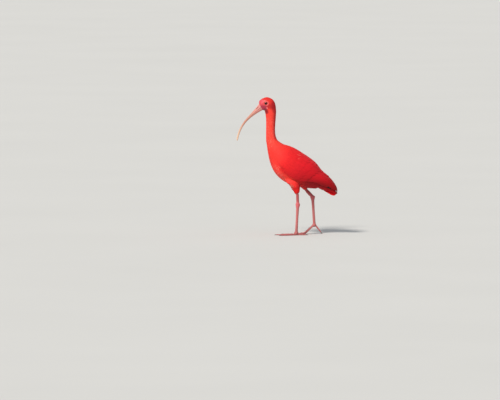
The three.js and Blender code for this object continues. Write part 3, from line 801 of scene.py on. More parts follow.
def tuft_paths(surface, points, normals, way, length, lift):
    """Middle lines of the feathers over the skin, with the ways up and aside at each station, the way on at
    the tip, and which of them never leap from one part of the skin to another."""
    line, up, side = (np.empty((len(TUFT_STATIONS), len(points), 3)) for _ in range(3))
    at, normal = points, normals
    whole = np.ones(len(points), bool)
    for i, rise in enumerate(TUFT_RISE):
        if i:
            stride = (TUFT_STATIONS[i] - TUFT_STATIONS[i - 1]) * length
            ahead, before = at + way * stride[:, None], normal
            at, normal, _ = surface.nearest(ahead)
            whole &= np.linalg.norm(at - ahead, axis=1) < 0.6 * stride
            whole &= np.sum(normal * before, axis=1) > 0.3
            way = flattened(way, normal)
        line[i] = at + normal * (rise * lift)[:, None]
        up[i] = normal
        side[i] = np.cross(normal, way)
    return line, up, side, way, whole


def make_tufts(surface, name, points, normals, uv, places, sizes):
    """One mesh of body feathers, each a thin closed vane that follows the skin and lifts towards its tip."""
    count = len(points)
    way = turned(flattened(places.lie, normals), normals, random.normal(0, TUFT_JITTER["turn"], count))
    length, half, lift = (sizes[key] * (1 + TUFT_JITTER[key] * random.uniform(-1, 1, count))
                          for key in ("length", "half", "lift"))
    line, up, side, way, whole = tuft_paths(surface, points, normals, way, length, lift)
    line, up, side = line[:, whole], up[:, whole], side[:, whole]
    points, uv, way, length, half = (values[whole] for values in (points, uv, way, length, half))
    places = Chosen(places, whole)
    count, last = len(points), len(TUFT_STATIONS) - 1
    ragged = TUFT["ragged"] * random.uniform(-1, 1, (last + 1, count, 1))
    crown = (TUFT["crown"] * half + TUFT["shaft"])[:, None]
    sag = TUFT["sag"] * half[:, None]
    corners, vane, facing = [], [], []
    for i in range(last):
        width = (half * TUFT_WIDTH[i])[:, None]
        uneven = 1 + 0.5 * ragged[i]
        for across in (-1, 0, 1):
            bulge = crown * (1 - abs(across)) - sag * abs(across)
            corners.append(line[i] + side[i] * width * uneven**across * across + up[i] * bulge)
            vane.append(np.stack([across * width[:, 0], TUFT_STATIONS[i] * length, places.tone], axis=1))
            facing.append(unit(up[i] + side[i] * (TUFT["rounding"] * across)))
    corners.append(line[last] + side[last] * half[:, None] * ragged[last])
    vane.append(np.stack([np.zeros(count), length, places.tone], axis=1))
    facing.append(unit(up[last] + way * TUFT["rounding"]))
    corners, vane, facing = (np.stack(rows, axis=1) for rows in (corners, vane, facing))
    faces, under = tuft_faces(last + 1)
    every = (faces[None] + (np.arange(count) * corners.shape[1])[:, None, None]).reshape(-1, 3)
    obj = link(name, new_mesh(name, corners.reshape(-1, 3), every))
    dress_coat(obj, corners, vane, points, places, uv)
    set_normals(smooth_shaded(obj), facing, every, np.tile(under, count))
    return obj


def make_fluff(surface):
    """Loose pale down that hangs in front of the left thigh and from the vent."""
    points, normals, uv = surface.scatter(FLUFF["candidates"])
    x, y, z = points.T
    thigh, vent = FLUFF["thigh"], FLUFF["vent"]
    before = (np.hypot(x - thigh["x"], z - thigh["z"]) < thigh["radius"]) & (y < thigh["inner"])
    before &= normals[:, 0] < -0.35
    behind = (np.abs(x - vent["x"]) < vent["long"]) & (np.abs(y) < vent["wide"]) & (normals[:, 2] < -0.55)
    index = np.flatnonzero(before | behind)[:FLUFF["count"]]
    places = Places(points[index])
    places.tone = random.random(len(index))
    hanging = random.uniform(0.6, 1.0, len(index)) * np.where(before[index], 1, 0.5)
    places.fleck = np.full(len(index), FLUFF["strength"])
    sizes = {key: FLUFF[key] * hanging for key in ("length", "half", "lift")}
    return make_tufts(surface, "coat_fluff", points[index], normals[index], uv[index], places, sizes)


def tuft_faces(stations):
    """Triangles of one tuft, which has left, ridge and right corners at each station and one at its tip, and
    which of them look down."""
    faces, under = [[0, 1, 2]], [True]
    for i in range(stations - 2):
        a = 3 * i
        for k in range(3):
            p, q = a + k, a + (k + 1) % 3
            faces += [[p, q + 3, q], [p, p + 3, q + 3]]
            under += [k == 2] * 2
    a, tip = 3 * (stations - 2), 3 * (stations - 1)
    faces += [[a + (k + 1) % 3, a + k, tip] for k in range(3)]
    under += [k == 2 for k in range(3)]
    return np.array(faces), np.array(under)


def dress_coat(obj, corners, vane, roots, places, uv):
    """Colours, vane places and the baking map of a coat piece."""
    each = corners.shape[1]
    shade = 1 + 0.1 * (places.tone - 0.5)
    colour = np.clip(colours_and_shade(roots, places) * shade[:, None], 0, 1)
    colour = np.repeat(colour[:, None], each, axis=1)
    share = vane[..., 1] / np.maximum(vane[..., 1].max(axis=1, keepdims=True), 1e-6)
    colour = blend(colour, PALE_PINK, places.fleck[:, None] * ramp(share, 0.35, 0.85))
    # Darker towards the root: partly the downy base, partly painted shade under the feathers over it
    colour = colour * (0.86 + 0.14 * ramp(share, 0.0, 0.6))[..., None]
    store_colour(obj.data, "plumage", colour.reshape(-1, 3))
    store_vector(obj.data, "vane", vane.reshape(-1, 3))
    span = np.maximum(np.abs(vane[..., 0]).max(axis=1, keepdims=True), 1e-6)
    offset = np.stack([vane[..., 0] / span, 2 * share - 1], axis=2) * TUFT["patch"]
    store_uv(obj.data, np.clip(uv[:, None] + offset, 0, 1).reshape(-1, 2))


# Flight feathers and wing coverts: fine vanes in tiers, each with a shaft

TIERS = [
    {"name": "primaries", "count": 4, "shares": (0.93, 1.1), "roots": 0.64, "tips": (0.9, 0.86),
     "under": (-3.0, -1.6), "lap": 0.3},
    {"name": "black_tipped", "count": 3, "shares": (0.97, 1.05), "roots": 0.66, "tips": (0.84, 0.82),
     "under": (-2.4, 0.8), "lap": 0.2},
    {"name": "secondaries", "count": 11, "shares": (0.46, 0.975), "roots": 0.41, "tips": (0.975, 0.885),
     "under": (-1.1, -0.7), "lap": 0.35},
    {"name": "tertials", "count": 6, "shares": (0.035, 0.44), "roots": 0.41, "tips": (0.998, 0.98),
     "under": (-0.9, -0.4), "lap": 0.35},
    {"name": "greater_coverts", "count": 14, "shares": (0.035, 0.965), "roots": 0.29, "tips": (0.57, 0.51),
     "under": (-0.7, 0.45), "lap": 0.36},
    {"name": "median_coverts", "count": 16, "shares": (0.03, 0.97), "roots": 0.22, "tips": (0.465, 0.415),
     "under": (-0.6, 0.85), "lap": 0.34},
    {"name": "upper_coverts", "count": 18, "shares": (0.03, 0.97), "roots": 0.18, "tips": (0.38, 0.34),
     "under": (-0.9, 1.15), "lap": 0.32},
    {"name": "lesser_coverts", "count": 20, "shares": (0.03, 0.97), "roots": 0.16, "tips": (0.31, 0.275),
     "under": (-1.3, 1.4), "lap": 0.3},
]
TIER_JITTER = {"centre": 0.04, "tip": 0.011}
# pale, pale_place and pale_part: paler tips on the back's edge, partly paler feathers, partly painted
# highlight
MANTLE = {"rows": 18, "first": 0.14, "step": 0.028, "fine": 0.4, "grown": 8, "run": 0.1, "across": 0.36,
          "narrows": 0.4, "count": 12, "climb": 1.9, "curl": 0.15, "blunt": 0.34, "pale": 0.55,
          "pale_place": (34, 284, 15), "pale_part": 0.6, "turn": (0.88, 1),
          "jitter": 0.25, "root_jitter": 0.35, "lengths": (0.9, 1.1),
          "level": {"s": [0.15, 0.19, 0.23, 0.32, 0.5], "height": [-2.2, -0.5, 0.7, 1.8, 1.2]}}
VANE = {"rows": 18, "thickness": 0.28, "shaft": 0.12, "camber": 0.16, "narrow": 0.74, "wide": 0.98,
        "dive": 0.02, "sunk": 2.5, "rise": 0.16, "patch": 0.006, "fray": 0.04, "tone": 0.12,
        "turn": (0.2, 0.95), "black_turn": (0.68, 0.72)}
ACROSS = np.array([-1, -0.7, -0.36, -0.05, 0, 0.05, 0.36, 0.7, 1])


def vane_rows(count):
    """Shares of a vane's length, closer together at its tip."""
    t = np.linspace(0, 1, count)
    return 1 - (1 - t) ** 1.7


def vane_width(v, blunt):
    """Half width along a vane: narrow at the root, rounded over the last share of its length."""
    body = 0.5 + 0.5 * ramp(v, 0, 0.35)
    tip = np.sqrt(np.clip(1 - (np.clip(v - 1 + blunt, 0, 1) / (blunt * 1.03)) ** 2, 0, 1))
    return body * np.maximum(tip, 0.1)


def grid_normals(outer, inner):
    """Directions that the outer face of a vane looks in."""
    normal = unit(np.cross(np.gradient(outer, axis=0), np.gradient(outer, axis=1)))
    return normal * np.sign(np.sum(normal * (outer - inner), axis=-1, keepdims=True))


def one_vane(place, root, tip, centre, pitch, height, blunt=0.2):
    """Outer and inner grids of one feather on the sheet that place() gives, and how far each corner lies from
    the shaft and along it."""
    v = vane_rows(VANE["rows"])[:, None]
    along = root + (tip - root) * v + 0 * ACROSS
    reach = np.where(ACROSS < 0, VANE["narrow"], VANE["wide"])
    fray = 1 + VANE["fray"] * (random.random((VANE["rows"], len(ACROSS))) - 0.5) * (np.abs(ACROSS) == 1)
    across = ACROSS * reach * vane_width(v, blunt) * fray
    lift = height(along, across) - VANE["camber"] * across**2
    thick = VANE["thickness"] * (1 - 0.6 * ACROSS**2) + VANE["shaft"] * (np.abs(ACROSS) < 0.04)
    inner = place(along, centre + across * pitch, lift)
    outer = place(along, centre + across * pitch, lift + thick)
    ahead = np.linalg.norm(np.diff(outer[:, len(ACROSS) // 2], axis=0), axis=1)
    run = np.concatenate([[0], np.cumsum(ahead)])[:, None] + 0 * ACROSS
    aside = np.linalg.norm(outer - outer[:, [len(ACROSS) // 2]], axis=2) * np.sign(ACROSS)
    return outer, inner, aside, run


class Vanes:
    """Collects the feathers of one piece."""

    def __init__(self, name, surface):
        self.name = name
        self.surface = surface
        self.corners, self.faces, self.vane, self.colour, self.uv, self.facing = [], [], [], [], [], []
        self.total = 0

    def add(self, vane, base, end, turn=VANE["turn"]):
        """One feather, as one_vane gives it, with its colours at the root and the tip."""
        outer, inner, aside, run = vane
        points, faces = closed_grid(outer, inner)
        tone = random.random()
        colour = feather_colour(base, end, run, aside, turn)
        patch = self.surface.nearest([points[len(ACROSS) // 2]])[2][0]
        across = np.tile((aside / max(np.abs(aside).max(), 1e-6)).ravel(), 2)
        share = np.tile((run / run.max()).ravel(), 2)
        self.corners.append(points)
        facing = grid_normals(outer, inner).reshape(-1, 3)
        self.facing.append(np.concatenate([facing, -facing]))
        self.faces.append(faces + self.total)
        self.vane.append(np.column_stack([np.tile(aside.ravel(), 2), np.tile(run.ravel(), 2),
                                          np.full(len(points), tone)]))
        self.colour.append(np.clip(np.tile(colour, (2, 1)) * (1 + VANE["tone"] * (tone - 0.5)), 0, 1))
        self.uv.append(np.clip(patch + np.column_stack([across, 2 * share - 1]) * VANE["patch"], 0, 1))
        self.total += len(points)

    def finish(self):
        faces = np.concatenate(self.faces)
        obj = link(self.name, new_mesh(self.name, np.concatenate(self.corners), faces))
        store_colour(obj.data, "plumage", np.concatenate(self.colour))
        store_vector(obj.data, "vane", np.concatenate(self.vane))
        store_uv(obj.data, np.concatenate(self.uv))
        set_normals(smooth_shaded(obj), np.concatenate(self.facing), faces, np.zeros(len(faces), bool))
        return obj


def feather_colour(base, tip, run, aside, turn):
    """Colour over one vane: darker at its root, partly its downy base and partly painted shade under the
    feathers over it, its own tint at the tip, the shaft a little paler.
    """
    share = run / run.max()
    colour = blend(base, tip, ramp(share, *turn))
    # Darker at the root: partly the downy base, partly painted shade under the feathers over it
    colour = colour * (0.75 + 0.25 * ramp(share, 0, 0.3))[..., None]
    shaft = np.exp(-((aside / 0.5) ** 2)) * 0.18
    return blend(colour, colour * 1.25 + 0.02, shaft).reshape(-1, 3)


def wing_red_and_shade(s, share):
    """Plumage red over the wing, deeper to the rear, partly its own deeper red and partly painted shade, and
    darker towards the lower edge as painted shade.
    """
    here = blend(blend(SCARLET, WING_RED, ramp(s, 0.05, 0.45)), REAR_RED_AND_SHADE, ramp(s, 0.5, 1.0))
    # Darker towards the lower edge: painted shade
    return here * (1 - mix(0.08, 0.22, ramp(s, 0.2, 0.5)) * ramp(abs(share), 0.5, 1))


def make_wing(side, name, surface):
    vanes = Vanes(name, surface)
    for tier in TIERS:
        count = tier["count"]
        pitch = (tier["shares"][1] - tier["shares"][0]) / (count - 1)
        for k in range(count):
            down = k / (count - 1)
            centre = mix(*tier["shares"], down) + random.normal(0, TIER_JITTER["centre"]) * pitch
            root = tier["roots"]
            tip = mix(*tier["tips"], down) + TIER_JITTER["tip"] * random.uniform(-1, 1)
            emerge = root + VANE["dive"]

            def height(along, across, root=root, emerge=emerge, tier=tier):
                rise = np.clip((along - emerge) / VANE["rise"], 0, 1)
                under = mix(*tier["under"], rise)
                sink = VANE["sunk"] * np.clip((emerge - along) / VANE["dive"], 0, 1)
                return under - sink + tier["lap"] * across

            def place(s, share, above):
                return over_wing(s, side * share, above)

            vane = one_vane(place, root, tip, centre, pitch, height)
            if tier["name"] == "black_tipped":
                vanes.add(vane, wing_red_and_shade(root, centre), BLACK_TIP, VANE["black_turn"])
            else:
                vanes.add(vane, wing_red_and_shade(root, centre), wing_red_and_shade(tip, centre))
    return vanes.finish()


def staggered(row, k, pitch, reach, jitter):
    """Place across of a feather in a row whose feathers lie between those of the row before."""
    return (k + 0.5 * (row % 2)) * pitch - reach + jitter * pitch * random.uniform(-1, 1)


def make_mantle(surface):
    """Feathers of the back, which cover the ridge where the wings meet."""
    vanes = Vanes("mantle", surface)
    sizes = mix(MANTLE["fine"], 1, ramp(np.arange(MANTLE["rows"]), 0, MANTLE["grown"]))
    starts = MANTLE["first"] + MANTLE["step"] * np.cumsum(sizes)
    for row, (size, first) in enumerate(zip(sizes, starts)):
        count = round(MANTLE["count"] / size)
        length = MANTLE["run"] * size
        reach = MANTLE["across"] * (1 - MANTLE["narrows"] * row / MANTLE["rows"])
        pitch = 2 * reach / (count - 1)
        level = np.interp(first, MANTLE["level"]["s"], MANTLE["level"]["height"])
        for k in range(count - row % 2):
            centre = staggered(row, k, pitch, reach, MANTLE["jitter"])
            root = first + MANTLE["root_jitter"] * MANTLE["step"] * size * random.uniform(-1, 1)
            tip = root + length * random.uniform(*MANTLE["lengths"])

            def height(along, across, root=root, level=level, length=length, size=size):
                rise = np.clip((along - root) / length, 0, 1)
                return level + size * (MANTLE["curl"] * across - MANTLE["climb"] * (1 - rise))

            vane = one_vane(over_wing, root, tip, centre, pitch, height, MANTLE["blunt"])
            # Paler tips on the back's edge: partly paler feathers, partly painted highlight
            pale = MANTLE["pale"] * (random.random() < MANTLE["pale_part"])
            pale = pale * spot(vane[0][-1], *MANTLE["pale_place"]).mean()
            end = blend(wing_red_and_shade(tip, centre), PALE_PINK, pale)
            vanes.add(vane, wing_red_and_shade(root, centre), end, MANTLE["turn"])
    return vanes.finish()


def bent(along, across):
    """Height over a tail feather's own middle, whose edges hang."""
    return -TAIL["sunk"] - TAIL["bend"] * across**2 + 0 * along


def make_tail(surface):
    """Feathers of the folded tail: the upper three pairs lie one over the other, the lower ones level."""
    vanes = Vanes("tail_feathers", surface)
    for pair in range(TAIL["pairs"]):
        for side in (LEFT, RIGHT):
            level = 2 * pair + (1 if side == RIGHT else 0) if pair < 3 else pair + 3
            turn = side * TAIL["spread"] * (pair + 0.4)
            length = TAIL["length"] - pair

            def place(u, w, h, turn=turn, level=level):
                run = u * math.cos(turn) - w * math.sin(turn)
                out = u * math.sin(turn) + w * math.cos(turn)
                return over_tail(run, out, h - TAIL["layer"] * level)

            vane = one_vane(place, length * TAIL["from"], length, 0.0, TAIL["half"], bent)
            vanes.add(vane, TAIL_RED, TAIL_RED)
    for k in range(TAIL_COVERTS["count"]):

        def place(u, w, h, level=k + 1):
            return over_tail(u, w + TAIL_COVERTS["aside"] * (-1) ** level, h + TAIL["layer"] * level)

        root, half = TAIL_COVERTS["root"], TAIL_COVERTS["half"]
        tip = TAIL["length"] - TAIL_COVERTS["short"] - TAIL_COVERTS["step"] * k
        vanes.add(one_vane(place, root, tip, 0.0, half, bent), TAIL_RED, TAIL_RED)
    add_undertail(vanes)
    return vanes.finish()


def add_undertail(vanes):
    """Coverts round the underside of the tail's root, each row over the one behind it."""
    pitch = 2 * UNDERTAIL["reach"] / (UNDERTAIL["count"] - 1)
    for row, start in enumerate(UNDERTAIL["starts"]):
        for k in range(UNDERTAIL["count"] - row % 2):
            centre = staggered(row, k, pitch, UNDERTAIL["reach"], UNDERTAIL["jitter"])
            tip = start + UNDERTAIL["run"] * random.uniform(*UNDERTAIL["lengths"])

            def height(along, across, row=row, start=start):
                rise = np.clip((along - start) / UNDERTAIL["run"], 0, 1)
                above = UNDERTAIL["height"] - UNDERTAIL["step"] * row - UNDERTAIL["climb"] * (1 - rise)
                return above + UNDERTAIL["curl"] * across

            vane = one_vane(under_tail, start, tip, centre, pitch, height, UNDERTAIL["blunt"])
            # Front rows darker: painted shade under the body at the vent
            base = blend(VENT_SHADE_RED, TAIL_RED, min(row / 2, 1))
            vanes.add(vane, base, blend(base, TAIL_RED, 0.3))


# Bill: two horny halves with a groove from each nostril, eyes, legs and claws

NOSTRIL = {"at": 0.085, "half": 0.042, "depth": 1.8}
GROOVE = {"aside": 0.8, "half": 0.09, "ends": (0.55, 0.9), "depth": 0.55}
# Painted shade in the nostril's opening
NOSTRIL_SHADE = srgb(84, 36, 36)
HORN_BASE = srgb(210, 136, 128)
HORN = srgb(196, 136, 116)
HORN_TIP = srgb(222, 184, 154)


def nostril(share, sharpness):
    """1 where the nostril is along the bill, 0 before and beyond it."""
    return np.exp(-(((share - NOSTRIL["at"]) / NOSTRIL["half"]) ** sharpness))


def bill_groove(t, angle):
    """Depth of the groove on both sides of the upper half, deepest in the nostril."""
    aside = np.exp(-(((np.abs(np.cos(angle)) - GROOVE["aside"]) / GROOVE["half"]) ** 2))
    groove = aside[None] * ((1 - ramp(t, *GROOVE["ends"])) * GROOVE["depth"])[:, None]
    return groove * (1 + NOSTRIL["depth"] * nostril(t, 6)[:, None])


def bill_colour(share, height, sunk, ridge):
    """Horn colour by the share of the bill's length, the height over the mouth and the groove's depth, with a
    painted highlight along the ridge and painted shade along the mouth, in the groove and in the nostril.
    """
    colour = blend(blend(HORN_BASE, HORN, ramp(share, 0.02, 0.35)), HORN_TIP, ramp(share, 0.5, 0.95))
    # Lighter along the ridge: painted highlight
    colour = blend(colour, np.clip(colour * 1.35, 0, 1), ramp(height, 0.86, 1.0) * ridge)
    # Darker along the mouth between the two halves: painted shade
    colour = blend(colour, colour * 0.72, 1 - ramp(height, 0, 0.16))
    # Darker in the groove: painted shade
    colour = blend(colour, colour * 0.75, np.clip(sunk, 0, 1))
    return blend(colour, NOSTRIL_SHADE, nostril(share, 8) * np.clip((sunk - 1.1) * 8, 0, 1))


def make_bill_half(name, edge, upper):
    t = np.concatenate([np.linspace(*stations) for stations in BILL["stations"]])
    angle = np.linspace(0, np.pi, BILL["sides"])
    mouth = blend(upright(bezier(CULMEN, t)), upright(bezier(GONYS, t)), BILL["mouth"])
    rim = upright(bezier(edge, t)) - mouth
    blunt = np.sqrt(1 - (ramp(t, BILL["blunt_from"], 1.0) * BILL["blunt"]) ** 2)
    reach = np.linalg.norm(rim, axis=1) * blunt
    width = mix(BILL["base"], BILL["tip"], t ** BILL["narrowing"]) * blunt
    rim = unit(rim)
    start = mouth + rim * BILL["lips"] / 2
    up = np.sin(angle) ** BILL["roundness"]
    out = np.cos(angle)
    ring = (start[:, None] + rim[:, None] * (up[None] * (reach - BILL["lips"] / 2)[:, None])[..., None]
            + np.array([0, 1, 0]) * (out[None] * width[:, None] / 2)[..., None])
    inward = unit(start[:, None] + rim[:, None] * (0.35 * reach)[:, None, None] - ring)
    groove = bill_groove(t, angle) if upper else np.zeros((len(t), len(angle)))
    ring = ring + inward * groove[..., None]
    rows, columns = ring.shape[:2]
    back = ring[0] + (ring[0] - ring[3]) * 1.5
    points = np.concatenate([ring.reshape(-1, 3), mix(back.mean(0), back, 0.8)])
    first = rows * columns
    faces = ring_faces(rows, columns)
    for k in range(columns):
        n = (k + 1) % columns
        faces.append([n, k, first + k, first + n])
    faces.append([first + k for k in range(columns)])
    faces.append([first - 1 - k for k in range(columns)])
    half = link(name, new_mesh(name, points, faces))
    with edited(half.data) as work:
        bmesh.ops.recalc_face_normals(work, faces=work.faces)
    share = np.concatenate([np.repeat(t, columns), np.zeros(columns)])
    height = np.concatenate([np.tile(up, rows), up])
    sunk = np.concatenate([groove.ravel(), groove[0]])
    # Last number: strength of the painted highlight along the ridge, stronger on the upper half
    store_colour(half.data, "horn", bill_colour(share, height, sunk, 0.75 if upper else 0.35))
    store_vector(half.data, "grain", np.column_stack([share * 190, height * 9, np.zeros(len(points))]))
    return smooth_shaded(half)


CORNEA = {"radius": 3.6, "swell": 0.35}


def make_eye(side, name):
    """Eyeball with a slightly swollen cornea, its pole turned outwards."""
    work = bmesh.new()
    bmesh.ops.create_uvsphere(work, u_segments=48, v_segments=28, radius=EYE["radius"])
    for vert in work.verts:
        x, y, z = vert.co
        swell = CORNEA["swell"] * max(0.0, 1 - math.hypot(x, y) / CORNEA["radius"]) if z > 0 else 0.0
        vert.co = Vector((x, side * (z + swell), y * side))
    bmesh.ops.translate(work, verts=work.verts, vec=Vector((EYE["x"], side * EYE["side"], EYE["z"])))
    bmesh.ops.scale(work, verts=work.verts, vec=Vector((MM, MM, MM)))
    bmesh.ops.recalc_face_normals(work, faces=work.faces)
    mesh = bpy.data.meshes.new(name)
    work.to_mesh(mesh)
    work.free()
    return smooth_shaded(link(name, mesh))


TOES = ["middle", "inner", "outer", "hind"]
LEG = {"voxel": 0.75, "rounds": 5}
LEG_OVERLAP = 5
LEG_SWELL = {"left": 0, "right": 1.2}
HOCK = {"depth": 8.1, "radius": 13}
KNEE_DEPTH = 6.8
LEG_RUN = {"tarsus": 40, "toes": 160, "toe": 80}
LEG_PINK = srgb(190, 106, 104)
HOCK_PINK = srgb(210, 98, 104)
FOOT_PINK = srgb(176, 96, 94)


def along_leg(points, lines):
    """For points round a leg: the run along it, the way out from its middle line, and how far that way points
    to the scuted side."""
    best = np.full(len(points), 1e9)
    run, front = np.zeros((2, len(points)))
    outward = np.zeros((len(points), 3))
    for a, b, begun, ahead in lines:
        axis = unit(b - a)
        along = np.clip((points - a) @ axis, 0, np.linalg.norm(b - a))
        off = points - a - np.outer(along, axis)
        away = np.linalg.norm(off, axis=1)
        better = away < best
        best[better] = away[better]
        run[better] = begun + along[better]
        outward[better] = off[better] / np.maximum(away[better], 1e-6)[:, None]
        front[better] = outward[better] @ ahead
    return run, outward, front


def make_leg(which):
    names = [f"shank_{which}", f"tarsus_{which}", f"foot_{which}"] + [f"toe_{toe}_{which}" for toe in TOES]
    mesh = fused(f"leg_{which}", [NODES[n].data for n in names], **LEG)
    points = corners_of(mesh)
    lines = leg_lines(which)
    knee, hock = lines[0][:2]
    run, outward, front = along_leg(points, lines)
    points[:, 2] = np.maximum(points[:, 2], 0)
    on_shank = ramp(points[:, 2], hock[2] - 8, hock[2] + 6) * (1 - ramp(points[:, 2], knee[2] - 9, knee[2]))
    points += outward * (LEG_SWELL[which] * on_shank)[:, None]
    points += unit(knee - hock) * (LEG_OVERLAP * ramp(points[:, 2], knee[2] - 5, knee[2]))[:, None]
    move_corners(mesh, points)
    leg = smooth_shaded(link(f"leg_{which}", mesh))
    z = points[:, 2]
    near_hock = np.exp(-((np.linalg.norm(points - hock, axis=1) / HOCK["radius"]) ** 2))
    # Above the hock: shank pink, darkened as painted shade under the thigh
    upper = layered(LEG_PINK, [(SHANK_PINK_AND_SHADE, ramp(z, hock[2], hock[2] + 14)), (HOCK_PINK, near_hock)])
    store_colour(leg.data, "leg", blend(FOOT_PINK, upper, ramp(z, 10, 45)))
    store_vector(leg.data, "scute", np.column_stack([run, front, np.zeros(len(points))]))
    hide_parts(*names)
    return leg


def middle_of(name):
    low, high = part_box(name)
    return (np.array(low) + np.array(high)) / 2 / MM


def leg_lines(which):
    """Middle lines of a leg's lengths: start, end, run at the start, and the way their scuted side faces."""
    shank_low, shank_high = (np.array(p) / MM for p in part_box(f"shank_{which}"))
    tarsus_high = np.array(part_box(f"tarsus_{which}")[1]) / MM
    side = middle_of(f"tarsus_{which}")[1]
    leaning = which == "right"
    hock_x = (shank_high if leaning else tarsus_high)[0] - HOCK["depth"]
    knee_x = shank_low[0] + KNEE_DEPTH if leaning else (shank_low[0] + shank_high[0]) / 2
    hock = np.array([hock_x, side, tarsus_high[2]])
    knee = np.array([knee_x, side, shank_high[2]])
    foot = middle_of(f"foot_{which}")
    forward = np.array([-1.0, 0, 0])
    up = np.array([0, 0, 1.0])
    lines = [(knee, hock, 0, forward), (hock, foot, LEG_RUN["tarsus"], forward)]
    for k, toe in enumerate(TOES):
        claw = middle_of(f"claw_{toe}_{which}")
        lines.append((foot, claw, LEG_RUN["toes"] + LEG_RUN["toe"] * k, up))
    return lines


def make_claws():
    """Claws, rounded from their solids."""
    names = [f"claw_{toe}_{which}" for which in ("left", "right") for toe in TOES]
    mesh = joined("claws", [NODES[name].data for name in names])
    with edited(mesh) as work:
        bmesh.ops.remove_doubles(work, verts=work.verts, dist=1e-6)
    obj = link("claws", mesh)
    rounding = obj.modifiers.new("round", "SUBSURF")
    rounding.levels = 2
    rounding.render_levels = 2
    claws = smooth_shaded(link("claws", evaluated(obj)))
    claws.name = "claws"
    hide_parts(*names)
    return claws


# Materials

CLAW_HORN = srgb(104, 66, 62)
FLOOR_GREY = (0.62, 0.61, 0.58)
IRIS = [(0.0, (3, 2, 2)), (0.40, (3, 2, 2)), (0.44, (44, 20, 12)), (0.60, (58, 28, 16)), (0.66, (16, 8, 6)),
        (1.0, (10, 5, 4))]


class Shader:
    """A new material, with short ways to add nodes to it and join them."""

    def __init__(self, name):
        self.material = bpy.data.materials.new(name)
        self.material.use_nodes = True
        self.tree = self.material.node_tree

    def feed(self, node, inputs):
        """Links or sets a node's inputs, by name or number."""
        for key, value in inputs.items():
            if isinstance(value, bpy.types.NodeSocket):
                self.tree.links.new(value, node.inputs[key])
            else:
                node.inputs[key].default_value = value

    def add(self, kind, inputs, output=0, **settings):
        """One output of a new node."""
        node = self.tree.nodes.new(f"ShaderNode{kind}")
        for key, value in settings.items():
            setattr(node, key, value)
        self.feed(node, inputs)
        return node.outputs[output]

    def finish(self, inputs):
        self.feed(self.tree.nodes["Principled BSDF"], inputs)
        return self.material

    def attribute(self, name, output="Vector"):
        return self.add("Attribute", {}, output, attribute_name=name)

    def place(self):
        return self.add("TexCoord", {}, "Object")

    def tint(self, colour):
        made = self.add("RGB", {})
        made.default_value = (*colour, 1)
        return made

    def split(self, vector):
        """The first two numbers of a vector."""
        first = self.add("SeparateXYZ", {0: vector}, "X")
        return first, first.node.outputs["Y"]

    def math(self, operation, *inputs):
        return self.add("Math", dict(enumerate(inputs)), operation=operation)

    def vector(self, operation, *inputs, output=0):
        return self.add("VectorMath", dict(enumerate(inputs)), output, operation=operation)

    def noise(self, vector, scale, detail, rough):
        inputs = {"Vector": vector, "Scale": scale, "Detail": detail, "Roughness": rough}
        return self.add("TexNoise", inputs, "Fac")

    def cells(self, scale, **settings):
        return self.add("TexVoronoi", {"Vector": self.place(), "Scale": scale}, "Distance", **settings)

    def ranged(self, value, low, high, start=0, end=1):
        """A value between start and end, spread from low to high."""
        inputs = {"Value": value, "From Min": start, "From Max": end, "To Min": low, "To Max": high}
        return self.add("MapRange", inputs, "Result")

    def shaded(self, colour, factor, low, high):
        """Colour made darker or lighter by a factor from 0 to 1."""
        return self.add("VectorMath", {0: colour, "Scale": self.ranged(factor, low, high)}, operation="SCALE")

    def bump(self, height, strength, distance):
        inputs = {"Height": height, "Strength": strength, "Distance": distance * MM}
        return self.add("Bump", inputs, "Normal")


def feather_material(name, roughness, sheen, barb_space):
    """Barbs that slant from the shaft to the tip, with soft mottling, over the painted reds."""
    shader = Shader(name)
    aside, along = shader.split(shader.attribute("vane"))
    slant = shader.math("MULTIPLY", shader.math("ABSOLUTE", aside), 1.4)
    course = shader.math("SUBTRACT", along, slant)
    phase = shader.math("MULTIPLY", course, 2 * math.pi / barb_space)
    barbs = shader.math("MULTIPLY_ADD", shader.math("SINE", phase), 0.5, 0.5)
    mottle = shader.noise(shader.place(), 160, 4, 0.6)
    colour = shader.shaded(shader.attribute("plumage", "Color"), barbs, 0.93, 1.04)
    return shader.finish({
        "Base Color": shader.shaded(colour, mottle, 0.86, 1.14),
        "Roughness": roughness,
        "Specular IOR Level": 0.12,
        "Sheen Weight": sheen,
        "Sheen Roughness": 0.45,
        "Sheen Tint": (1.0, 0.2, 0.16, 1),
        "Normal": shader.bump(barbs, 0.35, 0.12),
    })


def skin_material():
    """Bare face with fine pores, and red skin under the plumage."""
    shader = Shader("facial_skin")
    grain = shader.noise(shader.place(), 900, 3, 0.6)
    blotch = shader.noise(shader.place(), 170, 3, 0.5)
    colour = shader.shaded(shader.attribute("plumage", "Color"), blotch, 0.8, 1.18)
    relief = shader.math("MULTIPLY_ADD", shader.cells(700), 0.6, grain)
    return shader.finish({
        "Base Color": shader.shaded(colour, grain, 0.9, 1.1),
        "Roughness": 0.48,
        "Specular IOR Level": 0.45,
        "Subsurface Weight": 0.12,
        "Subsurface Radius": (0.9, 0.3, 0.2),
        "Subsurface Scale": 0.002,
        "Normal": shader.bump(relief, 0.5, 0.25),
    })


def horn_material():
    """Horn with long fine streaks along the bill and soft mottling."""
    shader = Shader("bill_horn")
    stretched = shader.vector("MULTIPLY", shader.attribute("grain"), (0.06, 1.6, 1))
    streaks = shader.noise(stretched, 1.3, 5, 0.65)
    mottle = shader.noise(shader.place(), 260, 4, 0.6)
    colour = shader.shaded(shader.attribute("horn", "Color"), streaks, 0.78, 1.2)
    return shader.finish({
        "Base Color": shader.shaded(colour, mottle, 0.9, 1.1),
        "Roughness": shader.ranged(mottle, 0.34, 0.56),
        "Normal": shader.bump(streaks, 0.4, 0.2),
    })


